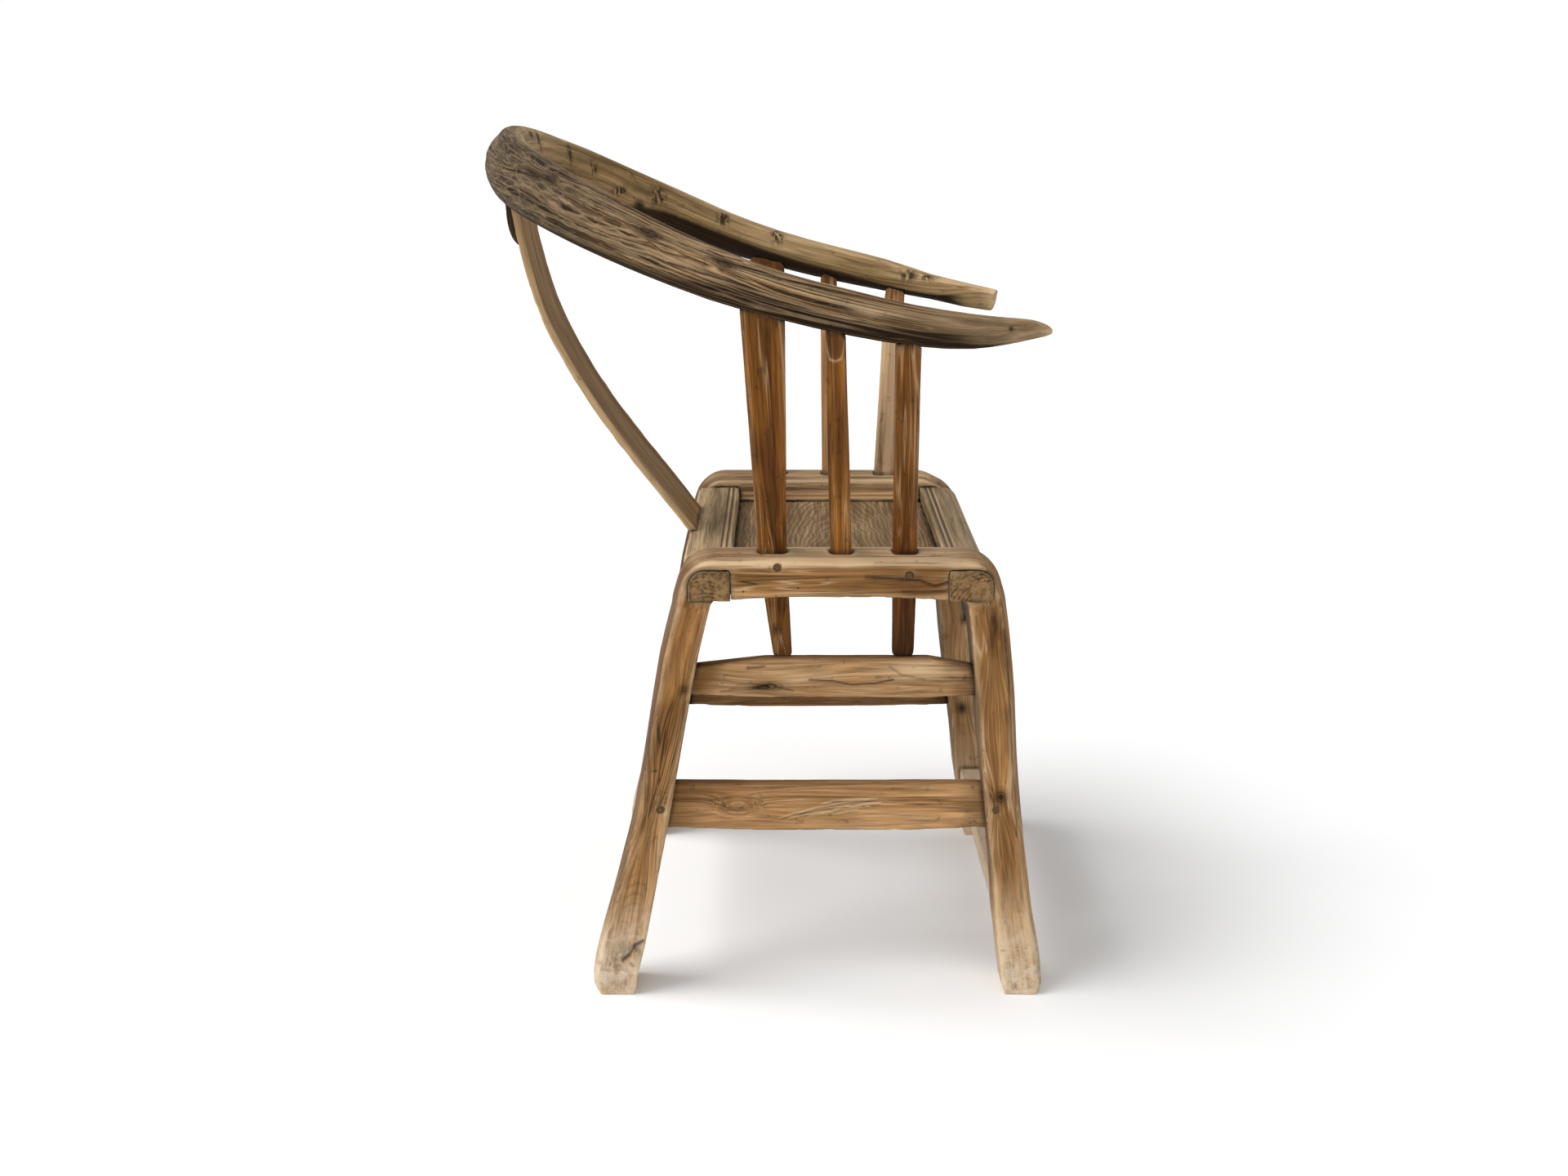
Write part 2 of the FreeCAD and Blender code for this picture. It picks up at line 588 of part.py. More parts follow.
def splat_tenon_box(grow):
    """Foot tenon of the splat in the back rail."""
    front = -dim.splat_foot - dim.bead_depth + grow
    back = front - dim.splat_tenon_thickness - grow * 2
    half = dim.splat_tenon_width / 2 + grow
    return back, front, half, rail_end_top - dim.splat_tenon_length - grow


def make_seat_rails():
    seat_rail("front_seat_rail", seat_front, 1, dim.front_rail_width, as_size(0), dim.front_end_round,
              dim.left_end_cut)
    body = seat_rail("back_seat_rail", seat_back, -1, dim.back_rail_width, dim.back_rail_fullness,
                     dim.back_end_round, as_size(0))
    back, front, half, low = splat_tenon_box(CLEAR)
    outline = rectangle(back, low, front, rail_end_top + dim.cut_overrun)
    add_pocket(body, "splat_mortise", [outline], half * 2)


def make_panel():
    panel = doc.addObject("Part::Box", "seat_panel")
    panel.Label = "seat_panel"
    tongue = dim.panel_tongue - CLEAR
    half = inner_half - dim.lip_width + tongue
    panel.setExpression("Length", (dim.seat_opening + tongue * 2).text)
    panel.setExpression("Width", (half * 2).text)
    panel.setExpression("Height", dim.panel_thickness.text)
    panel.setExpression("Placement.Base.x", (seat_back - tongue).text)
    panel.setExpression("Placement.Base.y", (-half).text)
    panel.setExpression("Placement.Base.z", panel_bottom.text)
    pieces["seat_panel"] = panel


def make_batten():
    body = new_body("seat_batten")
    low = panel_bottom - dim.batten_height
    bar = rectangle(seat_back + CLEAR, low, seat_front - CLEAR, panel_bottom)
    add_pad(body, "batten_bar", [bar], dim.batten_width)
    reach = dim.batten_tenon_length
    start = low + dim.tenon_shoulder
    tenons = rectangle(seat_back - reach, start, seat_front + reach, start + dim.batten_tenon_height)
    add_pad(body, "batten_tenons", [tenons], dim.batten_width)


# Stretchers

def upper_outline(side, grow):
    top = dim.upper_stretcher_top
    low = top - upper_depth[side]
    side_top = top - dim.upper_stretcher_taper
    back_run = blend(seat_back, seat_front, 0.16)
    front_run = blend(seat_back, seat_front, 0.92)
    side_low = low + dim.rail_crown / 2
    housing = dim.housing_depth + grow
    return [
        (back_leg_front(side, side_low) - housing, side_low - grow),
        (back_run, low - grow),
        (front_run, low - grow),
        (front_leg_back(side, side_low) + housing, side_low - grow),
        (front_leg_back(side, side_top) + housing, side_top + grow),
        (front_run, top + grow),
        (back_run, top + grow),
        (back_leg_front(side, side_top) - housing, side_top + grow),
    ]


def lower_outline(side, grow):
    top = lower_top[side]
    low = top - dim.lower_stretcher_height
    housing = dim.housing_depth + grow
    back = back_leg_front(side, low) - housing
    front = front_leg_back(side, low) + housing
    belly = low - dim.lower_stretcher_belly - grow
    return [
        (back, low - grow),
        (blend(back, front, 0.25), belly),
        (blend(back, front, 0.75), belly),
        (front, low - grow),
        (front_leg_back(side, top) + housing, top + grow),
        (back_leg_front(side, top) - housing, top + grow),
    ]


def side_tenons(side, low, high, grow):
    low = low + dim.tenon_shoulder
    high = high - dim.tenon_shoulder
    middle = (low + high) / 2
    back = back_leg_front(side, middle) - dim.tenon_length - grow
    front = front_leg_back(side, middle) + dim.tenon_length + grow
    return rectangle(back, low - grow, front, high + grow)


def stretcher_plane(side, level):
    """Middle plane of a side stretcher, behind the outer face of the legs."""
    return (outer_face(side, level) - dim.side_stretcher_inset - dim.side_stretcher_thickness / 2) * side


def upper_levels(side):
    top = dim.upper_stretcher_top - dim.upper_stretcher_taper
    return dim.upper_stretcher_top - upper_depth[side] + dim.rail_crown / 2, top


def lower_levels(side):
    return lower_top[side] - dim.lower_stretcher_height, lower_top[side]


def side_stretcher(label, side, outline, levels, plane):
    body = new_body(label)
    bar = add_pad(body, f"{label}_bar", [outline], dim.side_stretcher_thickness)
    middle_level = float((levels[0] + levels[1]) / 2)

    def long_top(edge, middle):
        return abs(edge.tangentAt(edge.FirstParameter).x) > 0.9 and middle.z > middle_level

    round_edges(body, f"{label}_worn_edges", bar, dim.side_stretcher_round, long_top)
    tenons = side_tenons(side, levels[0], levels[1], as_size(0))
    add_pad(body, f"{label}_tenons", [tenons], dim.tenon_thickness)
    body.setExpression("Placement.Base.y", plane.text)
    return body


def make_side_stretchers():
    for side, name in SIDE_NAMES.items():
        side_stretcher(f"{name}_upper_stretcher", side, upper_outline(side, as_size(0)), upper_levels(side),
                       stretcher_plane(side, dim.upper_stretcher_top))
        body = side_stretcher(f"{name}_lower_stretcher", side, lower_outline(side, as_size(0)),
                              lower_levels(side), stretcher_plane(side, lower_top[side]))
        holes = [(across, up) for across, _, up in stretcher_peg_places(side)]
        add_round_pocket(body, f"{name}_peg_holes", holes, dim.peg_diameter / 2 + CLEAR,
                         dim.side_stretcher_thickness)


def cross_outline(rows, low, high, grow):
    """Outline of a cross piece between two legs, shouldered against their inner faces."""
    corners = []
    for side, level, lift in ((RIGHT, low, -grow), (LEFT, low, -grow), (LEFT, high, grow), (RIGHT, high, grow)):
        reach = inner_face(side, level, rows) + dim.housing_depth + grow
        corners.append((reach * side, level + lift))
    return corners


def cross_tenons(rows, low, high, grow):
    low = low + dim.tenon_shoulder
    high = high - dim.tenon_shoulder
    middle = (low + high) / 2
    right = -(inner_face(RIGHT, middle, rows) + dim.tenon_length + grow)
    left = inner_face(LEFT, middle, rows) + dim.tenon_length + grow
    return rectangle(right, low - grow, left, high + grow)


back_stretcher_low = dim.back_stretcher_top - dim.back_stretcher_height
back_stretcher_plane = back_leg_front(RIGHT, dim.back_stretcher_top) - dim.back_stretcher_thickness * 1.1
footrest_low = dim.footrest_top - dim.footrest_thickness
footrest_plane = dim.footrest_back + dim.footrest_depth / 2
footrest_tenon_depth = dim.footrest_depth - dim.footrest_tenon_inset * 2


def make_back_stretcher():
    body = new_body("back_stretcher")
    levels = (back_stretcher_low, dim.back_stretcher_top)
    bar = cross_outline(BACK_LEG_SHARES, levels[0], levels[1], as_size(0))
    add_pad(body, "back_stretcher_bar", [bar], dim.back_stretcher_thickness, "YZ_Plane")
    tenons = cross_tenons(BACK_LEG_SHARES, levels[0], levels[1], as_size(0))
    add_pad(body, "back_stretcher_tenons", [tenons], dim.tenon_thickness, "YZ_Plane")
    body.setExpression("Placement.Base.x", back_stretcher_plane.text)


def make_footrest():
    body = new_body("footrest")
    bar = cross_outline(FRONT_LEG_SHARES, footrest_low, dim.footrest_top, as_size(0))
    pad = add_pad(body, "footrest_board", [bar], dim.footrest_depth, "YZ_Plane")

    def front_top(edge, middle):
        along = abs(edge.tangentAt(edge.FirstParameter).y) > 0.99
        return along and middle.x > 0 and abs(middle.z - float(dim.footrest_top)) < float(CLEAR)

    round_edges(body, "footrest_worn_edge", pad, dim.footrest_thickness / 4, front_top)
    tenons = cross_tenons(FRONT_LEG_SHARES, footrest_low - dim.tenon_shoulder / 2,
                          dim.footrest_top + dim.tenon_shoulder / 2, as_size(0))
    add_pad(body, "footrest_tenons", [tenons], footrest_tenon_depth, "YZ_Plane")
    body.setExpression("Placement.Base.x", footrest_plane.text)


def make_apron():
    body = new_body("front_apron")
    top = dim.shoulder_height - dim.rail_drop
    low = dim.shoulder_height - dim.apron_height
    arch = dim.shoulder_height - dim.apron_arch
    right_end = -(inner_face(RIGHT, top, FRONT_LEG_SHARES) - CLEAR)
    left_end = inner_face(LEFT, top, FRONT_LEG_SHARES) - CLEAR
    right_foot = -(inner_face(RIGHT, low, FRONT_LEG_SHARES) - CLEAR)
    left_foot = inner_face(LEFT, low, FRONT_LEG_SHARES) - CLEAR
    half_bracket = dim.apron_bracket / 2
    outline = [
        (right_end, top),
        (right_foot, low),
        (right_foot + half_bracket, low),
        (right_foot + dim.apron_bracket, arch),
        (left_foot - dim.apron_bracket, arch),
        (left_foot - half_bracket, low),
        (left_foot, low),
        (left_end, top),
    ]
    pad = add_pad(body, "apron_board", [outline], dim.apron_thickness, "YZ_Plane")

    def bracket_corner(edge, middle):
        across = abs(edge.tangentAt(edge.FirstParameter).x) > 0.99
        inside = abs(middle.y) < float(inner_half - half_bracket / 2)
        return across and inside

    round_edges(body, "apron_curves", pad, dim.apron_round, bracket_corner)
    plane = seat_front + dim.front_rail_width / 2 + dim.apron_thickness / 2
    body.setExpression("Placement.Base.x", plane.text)


# Horseshoe pole

def arm_rows():
    """Stations from the right tip round the back to the left tip, by their distance along the pole."""
    right = [(row[0] * RIGHT,) + row[1:] for row in reversed(ARM_SHARES[1:] + RIGHT_TIP_SHARES)]
    stations = right + list(ARM_SHARES + LEFT_TIP_SHARES)
    rows = []
    place = 0.0
    for index, row in enumerate(stations):
        before = stations[max(index - 1, 0)]
        place += math.hypot(row[0] - before[0], (row[1] - before[1]) * 2)
        rows.append((place,) + row)
    return closer_rows(rows, ARM_STEPS)


def arm_places():
    places = []
    for _, across, along, fall, height, thick, arris, fuller in arm_rows():
        tall = dim.crest_height * height
        top = dim.crest_top - dim.arm_fall * fall
        places.append(SimpleNamespace(
            middle=point(dim.arm_reach * along - dim.crest_back, dim.arm_half_width * across, top - tall / 2),
            height=float(tall), thickness=float(dim.crest_thickness * thick), arris=arris, fuller=fuller,
            slant=0.0))
    places[-1].slant = float(dim.left_tip_slant)
    return places


def pole_wire(place, outward, along):
    """Closed section of the horseshoe pole: four rounded sides that meet in soft arrises."""
    def spot(across, up):
        out = outward * (across * place.thickness) + along * (up * place.slant)
        return place.middle + out + Vector(0, 0, up * place.height)

    def spots(on_arm, at_crest):
        pairs = zip(on_arm, at_crest)
        return [spot(*(blend(low, high, place.fuller) for low, high in zip(arm, crest))) for arm, crest in pairs]

    arrises = spots(ARM_ARRIS_SHARES, CREST_ARRIS_SHARES)
    arrises.append(spot(POLE_INNER_SHARE, place.arris))
    rounds = spots(ARM_ROUND_SHARES, CREST_ROUND_SHARES)
    edges = []
    for index, middle in enumerate(rounds):
        edges.append(Part.Arc(arrises[index], middle, arrises[(index + 1) % 4]).toShape())
    return Part.Wire(edges)


def pole_solid():
    places = arm_places()
    wires = []
    for index, place in enumerate(places):
        before = places[max(index - 1, 0)].middle
        after = places[min(index + 1, len(places) - 1)].middle
        way = after - before
        along = Vector(way.x, way.y, 0)
        along.normalize()
        wires.append(pole_wire(place, Vector(-along.y, along.x, 0), along))
    return close_loft(wires)


# Posts

def arm_line(across):
    """Middle of the horseshoe pole above a place along the chair: side distance and underside."""
    rows = [(row[1], row[0], row[2], row[3]) for row in ARM_SHARES if row[1] > 0.15]
    key = float((across + dim.crest_back) / dim.arm_reach)
    side_share = table_value(rows, key, 1)
    under = dim.crest_top - dim.arm_fall * table_value(rows, key, 2) - dim.crest_height * table_value(rows, key, 3)
    return dim.arm_half_width * side_share, under


def post_measures(name, side):
    """Where a post stands and how wide it is, at its foot, at the seat and under the arm."""
    if name == "rear":
        return SimpleNamespace(
            foot=dim.upper_stretcher_top, foot_at=dim.rear_post_foot_at, foot_width=dim.rear_post_foot_width,
            at=dim.rear_post_at, width=dim.rear_post_width,
            top_at=dim.rear_post_at - dim.rear_post_lean, top_width=dim.rear_post_top_width,
            foot_line=dim.post_foot_line, foot_thickness=dim.post_foot_thickness)
    if name == "middle":
        lean = dim.right_middle_lean if side == RIGHT else dim.left_middle_lean
        return SimpleNamespace(
            foot=dim.middle_post_foot, foot_at=dim.middle_post_at, foot_width=dim.middle_post_width,
            at=dim.middle_post_at, width=dim.middle_post_width,
            top_at=dim.middle_post_at - lean, top_width=dim.middle_post_top_width,
            foot_line=dim.post_line, foot_thickness=dim.post_thickness)
    lean = -dim.right_front_lean if side == RIGHT else dim.left_front_lean
    return SimpleNamespace(
        foot=dim.upper_stretcher_top, foot_at=dim.front_post_at, foot_width=dim.front_post_foot_width,
        at=dim.front_post_at, width=dim.front_post_width,
        top_at=dim.front_post_at + lean, top_width=dim.front_post_top_width,
        foot_line=dim.post_foot_line, foot_thickness=dim.post_foot_thickness)


def post_wire(middle, width, thickness, grow):
    """Chamfered oblong section of a post."""
    half_wide = float(width / 2 + grow)
    half_thick = float(thickness / 2 + grow)
    cut = float(dim.post_chamfer)
    corners = []
    for way_x, way_y, first in ((1, 1, True), (-1, 1, False), (-1, -1, True), (1, -1, False)):
        pair = [(half_wide, half_thick - cut), (half_wide - cut, half_thick)]
        if not first:
            pair.reverse()
        corners.extend((far * way_x, deep * way_y) for far, deep in pair)
    points = [middle + Vector(far, deep, 0) for far, deep in corners]
    return Part.makePolygon(points + [points[0]])


def post_solid(name, side, grow, rise):
    """Tapered post that curves outwards from the seat to the arm."""
    post = post_measures(name, side)
    side_top, under = arm_line(post.top_at)
    seat_level = dim.seat_height
    wires = [
        post_wire(point(post.foot_at, post.foot_line * side, post.foot - grow),
                  post.foot_width, post.foot_thickness, grow),
        post_wire(point(post.at, dim.post_line * side, seat_level), post.width, dim.post_thickness, grow),
    ]
    for up, lean in POST_LEAN_SHARES:
        place = point(blend(post.at, post.top_at, up), blend(dim.post_line, side_top, lean) * side,
                      blend(seat_level, under + rise, up))
        wires.append(post_wire(place, blend(post.width, post.top_width, up), dim.post_thickness, grow))
    return Part.makeLoft(wires, True, True)


def post_tenon(name, side, grow):
    """Small tenon that a post sends up into the horseshoe pole."""
    top_at = post_measures(name, side).top_at
    side_top, under = arm_line(top_at)
    half = dim.post_tenon_width / 2 + grow
    middle = side_top * side
    return block(top_at - half, top_at + half, middle - half, middle + half,
                 under - dim.post_tenon_height / 4, under + dim.post_tenon_height + grow)


# Splat

def splat_curve(back):
    """Points of the splat's front face, or of its back face, in the middle plane."""
    spots = []
    for up, sweep in SPLAT_SHARES:
        spots.append(point(-dim.splat_foot - dim.splat_sweep * sweep, 0, rail_end_top + dim.splat_rise * up))
    curve = Part.BSplineCurve()
    curve.interpolate(spots)
    if not back:
        return curve
    shifted = []
    for spot in spots:
        way = curve.tangent(curve.parameter(spot))[0]
        shifted.append(spot + Vector(-way.z, 0, way.x) * float(dim.splat_thickness))
    curve = Part.BSplineCurve()
    curve.interpolate(shifted)
    return curve


def splat_board():
    front = splat_curve(False)
    back = splat_curve(True)
    top = Part.LineSegment(front.EndPoint, back.EndPoint)
    foot = Part.LineSegment(back.StartPoint, front.StartPoint)
    wire = Part.Wire(Part.__sortEdges__([front.toShape(), top.toShape(), back.toShape(), foot.toShape()]))
    face = Part.Face(wire)
    face.translate(Vector(0, -float(dim.splat_width) / 2, 0))
    return face.extrude(Vector(0, float(dim.splat_width), 0))


def splat_top_tenon(grow):
    front = splat_curve(False).EndPoint
    middle = front.x - float(dim.splat_thickness) / 2
    half = float(dim.splat_tenon_thickness / 2 + grow)
    half_width = float(dim.splat_tenon_width / 2 + grow)
    low = crest_underside() - float(dim.splat_tenon_length)
    high = crest_underside() + float(dim.splat_tenon_length * 2 + grow)
    return Part.makeBox(half * 2, half_width * 2, high - low, Vector(middle - half, -half_width, low))


def crest_underside():
    return float(dim.crest_top - dim.crest_height)


def make_splat(pole):
    wood = splat_board().cut(pole)
    wood = max(wood.Solids, key=lambda solid: solid.Volume)
    back, front, half, low = splat_tenon_box(as_size(0))
    foot_tenon = block(back, front, -half, half, low, rail_end_top + dim.splat_thickness / 2)
    below = block(-dim.crest_back, seat_front, -dim.splat_width, dim.splat_width,
                  low, rail_end_top)
    wood = wood.cut(below)
    wood = wood.fuse(foot_tenon).fuse(splat_top_tenon(as_size(0)))
    keep_shape("back_splat", wood.removeSplitter())
    return wood


def make_cleat(pole, splat):
    """Backing piece in the angle between the splat's back and the horseshoe pole."""
    back = splat_curve(True)
    top = crest_underside() + float(dim.splat_tenon_length)
    low = crest_underside() - float(dim.cleat_length)
    inner = []
    outer = []
    for up, thick in CLEAT_SHARES:
        level = blend(low, top, up)
        line = Part.Line(Vector(0, 0, level), Vector(1, 0, level))
        crossing = back.intersect(line)[0]
        across = crossing.X
        inner.append(Vector(across + float(dim.splat_thickness) / 2, 0, level))
        outer.append(Vector(across - float(dim.cleat_thickness) * thick, 0, level))
    curve = Part.BSplineCurve()
    curve.interpolate(outer)
    edges = [curve.toShape(), Part.makeLine(outer[-1], inner[-1]), Part.makeLine(inner[-1], inner[0]),
             Part.makeLine(inner[0], outer[0])]
    face = Part.Face(Part.Wire(edges))
    face.translate(Vector(0, -float(dim.cleat_width) / 2, 0))
    solid = face.extrude(Vector(0, float(dim.cleat_width), 0)).cut(splat).cut(pole)
    solid = max(solid.Solids, key=lambda item: item.Volume)
    keep_shape("splat_cleat", solid)


# Pegs

def post_peg_places(side):
    outer = (half_seat + CLEAR) * side
    return [(dim.rear_peg_at, outer, dim.rear_peg_level), (dim.front_peg_at, outer, dim.front_peg_level)]


def stretcher_peg_places(side):
    level = lower_top[side] - dim.lower_stretcher_height / 2 + dim.stretcher_peg_rise
    outer = (outer_face(side, level) - CLEAR) * side
    reach = dim.tenon_length / 2
    return [(back_leg_front(side, level) - reach, outer, level),
            (front_leg_back(side, level) + reach, outer, level)]


def peg_hole(place, side, length):
    across, outer, up = place
    radius = float(dim.peg_diameter / 2 + CLEAR)
    start = point(across, outer + dim.cut_overrun * side, up)
    return Part.makeCylinder(radius, float(length + dim.cut_overrun), start, Vector(0, -side, 0))


def make_pegs(label, places, length):
    """Group of wooden pegs driven in from the outer faces."""
    parts = []
    for side in (RIGHT, LEFT):
        for number, (across, outer, up) in enumerate(places(side), start=1):
            peg = doc.addObject("Part::Cylinder", f"{label}_{SIDE_NAMES[side]}_{number}")
            peg.setExpression("Radius", (dim.peg_diameter / 2).text)
            peg.setExpression("Height", length.text)
            peg.Placement = FreeCAD.Placement(Vector(), FreeCAD.Rotation(Vector(1, 0, 0), 90 * side))
            peg.setExpression("Placement.Base.x", across.text)
            peg.setExpression("Placement.Base.y", outer.text)
            peg.setExpression("Placement.Base.z", up.text)
            parts.append(peg)
    group = doc.addObject("Part::Compound", label)
    group.Label = label
    group.Links = parts
    pieces[label] = group


# Bent side frames

def frame_wire(inner, outer, crown, face, back):
    """Section of the bent pole: flat inside and sides, rounded outside."""
    way = outer - inner
    way.normalize()
    shoulder = outer - way * float(crown)
    face = float(face)
    back = float(back)
    corners = [Vector(inner.x, back, inner.z), Vector(inner.x, face, inner.z),
               Vector(shoulder.x, face, shoulder.z), Vector(shoulder.x, back, shoulder.z)]
    apex = Vector(outer.x, (face + back) / 2, outer.z)
    return Part.Wire([
        Part.makeLine(corners[0], corners[1]),
        Part.makeLine(corners[1], corners[2]),
        Part.Arc(corners[2], apex, corners[3]).toShape(),
        Part.makeLine(corners[3], corners[0]),
    ])


def leg_wires(side, rows, face_line, rake, crown, way):
    wires = []
    for share, rake_share, thick, _ in closer_rows(rows, LEG_STEPS):
        level = dim.shoulder_height * share
        outer = face_line + rake * rake_share * way
        inner = outer - dim.pole_thickness * thick * way
        face = outer_face(side, level)
        back = face - leg_breadth(side, rows, share)
        wires.append(frame_wire(point(inner, 0, level), point(outer, 0, level), crown,
                                face * side, back * side))
    return wires


def bend_wires(side, rows, bend_rows, face_line, leg_crown, way):
    """Sections that turn about the hollow of a bend, from the leg to the rail."""
    level = dim.shoulder_height * rows[-1][0]
    leg_inner = face_line - dim.pole_thickness * rows[-1][2] * way
    pivot = point(leg_inner - dim.bend_hollow * way, 0, level)
    leg_radius = float((face_line - leg_inner) * way + dim.bend_hollow)
    rail_radius = float(rail_top - level)
    wires = []
    for turn, swell in closer_rows(bend_rows, BEND_STEPS)[1:-1]:
        angle = math.radians(90 * turn)
        out = Vector(math.cos(angle) * way, 0, math.sin(angle))
        radius = blend(leg_radius, rail_radius, turn) + float(dim.bend_swell) * swell
        crown = blend(leg_crown, dim.rail_crown, turn)
        wires.append(frame_wire(pivot + out * float(dim.bend_hollow), pivot + out * radius, crown,
                                half_seat * side, inner_half * side))
    return wires, pivot


def rail_wires(side, start, end):
    wires = []
    for share, lift in closer_rows(SIDE_RAIL_SHARES, RAIL_STEPS):
        low = dim.shoulder_height + dim.rail_lift * lift
        across = blend(start, end, share)
        wires.append(frame_wire(Vector(across, 0, float(low)), Vector(across, 0, float(rail_top)),
                                dim.rail_crown, half_seat * side, inner_half * side))
    return wires


def notch_block(edge, way, width, end_round):
    """Room for the end of a seat rail, rounded like the rail where that end is rounded."""
    left = edge if way > 0 else edge - width
    half = half_seat + dim.cut_overrun * 2 + dim.pole_breadth
    solid = block(left - CLEAR, left + width + CLEAR, -half, half,
                  dim.shoulder_height - CLEAR, rail_end_top + CLEAR)
    if end_round is None:
        return solid
    outer = float(edge + (width + CLEAR) * way)
    high = float(rail_end_top + CLEAR)
    chosen = []
    for edge_line in solid.Edges:
        middle = edge_line.CenterOfMass
        if abs(middle.x - outer) < float(CLEAR) and abs(middle.z - high) < float(CLEAR):
            chosen.append(edge_line)
    return solid.makeFillet(float(end_round), chosen)


def frame_cuts(side):
    """Everything that is cut out of a side frame for the pieces that it holds."""
    front_end = (dim.front_rail_width, dim.front_end_round)
    if side == LEFT:
        front_end = (dim.front_rail_width - dim.left_end_cut, None)
    cuts = [
        notch_block(seat_front, 1, *front_end),
        notch_block(seat_back, -1, dim.back_rail_width, dim.back_end_round),
    ]
    groove_end = (inner_half - dim.lip_width + dim.panel_tongue) * side
    groove_start = (inner_half - dim.lip_width - dim.cut_overrun) * side
    near, far = (groove_end, groove_start) if side == RIGHT else (groove_start, groove_end)
    reach = dim.panel_tongue + dim.cut_overrun
    cuts.append(block(seat_back - reach, seat_front + reach, near, far,
                      panel_bottom - CLEAR, dim.panel_top + CLEAR))
    for name in ("rear", "middle", "front"):
        cuts.append(post_solid(name, side, CLEAR, as_size(0)))
    thickness = dim.side_stretcher_thickness + CLEAR * 2
    tenon = dim.tenon_thickness + CLEAR * 2
    low, high = upper_levels(side)
    plane = stretcher_plane(side, dim.upper_stretcher_top)
    cuts.append(board(upper_outline(side, CLEAR), plane, thickness))
    cuts.append(board(side_tenons(side, low, high, CLEAR), plane, tenon))
    low, high = lower_levels(side)
    plane = stretcher_plane(side, lower_top[side])
    cuts.append(board(lower_outline(side, CLEAR), plane, thickness))
    cuts.append(board(side_tenons(side, low, high, CLEAR), plane, tenon))
    levels = (back_stretcher_low, dim.back_stretcher_top)
    cuts.append(cross_board(cross_outline(BACK_LEG_SHARES, levels[0], levels[1], CLEAR),
                            back_stretcher_plane, dim.back_stretcher_thickness + CLEAR * 2))
    cuts.append(cross_board(cross_tenons(BACK_LEG_SHARES, levels[0], levels[1], CLEAR),
                            back_stretcher_plane, tenon))
    cuts.append(cross_board(cross_outline(FRONT_LEG_SHARES, footrest_low, dim.footrest_top, CLEAR),
                            footrest_plane, dim.footrest_depth + CLEAR * 2))
    half_shoulder = dim.tenon_shoulder / 2
    cuts.append(cross_board(cross_tenons(FRONT_LEG_SHARES, footrest_low - half_shoulder,
                                         dim.footrest_top + half_shoulder, CLEAR),
                            footrest_plane, footrest_tenon_depth + CLEAR * 2))
    cuts.extend(peg_hole(place, side, dim.post_peg_length + CLEAR) for place in post_peg_places(side))
    cuts.extend(peg_hole(place, side, dim.stretcher_peg_length + CLEAR) for place in stretcher_peg_places(side))
    return cuts


def make_side_frame(side):
    """One pole that is front leg, side rail and back leg, notched and bent round the seat rails."""
    front_face = front_leg_face[side]
    front_rows = BEND_SHARES if side == RIGHT else LEFT_FRONT_BEND_SHARES
    front_bend, front_pivot = bend_wires(side, FRONT_LEG_SHARES, front_rows, front_face, front_crown[side], 1)
    back_bend, back_pivot = bend_wires(side, BACK_LEG_SHARES, BEND_SHARES, back_leg_face, dim.leg_crown, -1)
    wires = leg_wires(side, FRONT_LEG_SHARES, front_face, front_rake[side], front_crown[side], 1)
    wires += front_bend
    wires += rail_wires(side, front_pivot.x, back_pivot.x)
    wires += reversed(back_bend)
    wires += reversed(leg_wires(side, BACK_LEG_SHARES, back_leg_face, back_rake[side], dim.leg_crown, -1))
    pole = close_loft(wires)
    low_side = inner_half - dim.lip_width
    ends = sorted((float(low_side * side), float((inner_half + dim.lip_width) * side)))
    lip = block(seat_back + CLEAR, seat_front - CLEAR, as_size(ends[0]), as_size(ends[1]),
                dim.lip_low, dim.lip_top)
    pole = pole.fuse(lip)
    for cut in frame_cuts(side):
        pole = pole.cut(cut)
    solid = max(pole.Solids, key=lambda item: item.Volume)
    keep_shape(f"{SIDE_NAMES[side]}_side_frame", solid.removeSplitter())


def make_posts(pole):
    for side, side_name in SIDE_NAMES.items():
        for name in ("rear", "middle", "front"):
            post = post_solid(name, side, as_size(0), dim.post_tenon_height)
            post = max(post.cut(pole).Solids, key=lambda solid: solid.Volume)
            post = post.fuse(post_tenon(name, side, as_size(0)))
            if name != "middle":
                for place in post_peg_places(side):
                    post = post.cut(peg_hole(place, side, dim.post_peg_length + CLEAR))
            keep_shape(f"{side_name}_{name}_post", post.removeSplitter())


def make_arm_rail(pole):
    for side in (RIGHT, LEFT):
        for name in ("rear", "middle", "front"):
            pole = pole.cut(post_tenon(name, side, CLEAR))
    pole = pole.cut(splat_top_tenon(CLEAR))
    keep_shape("crest_arm_rail", max(pole.Solids, key=lambda solid: solid.Volume))


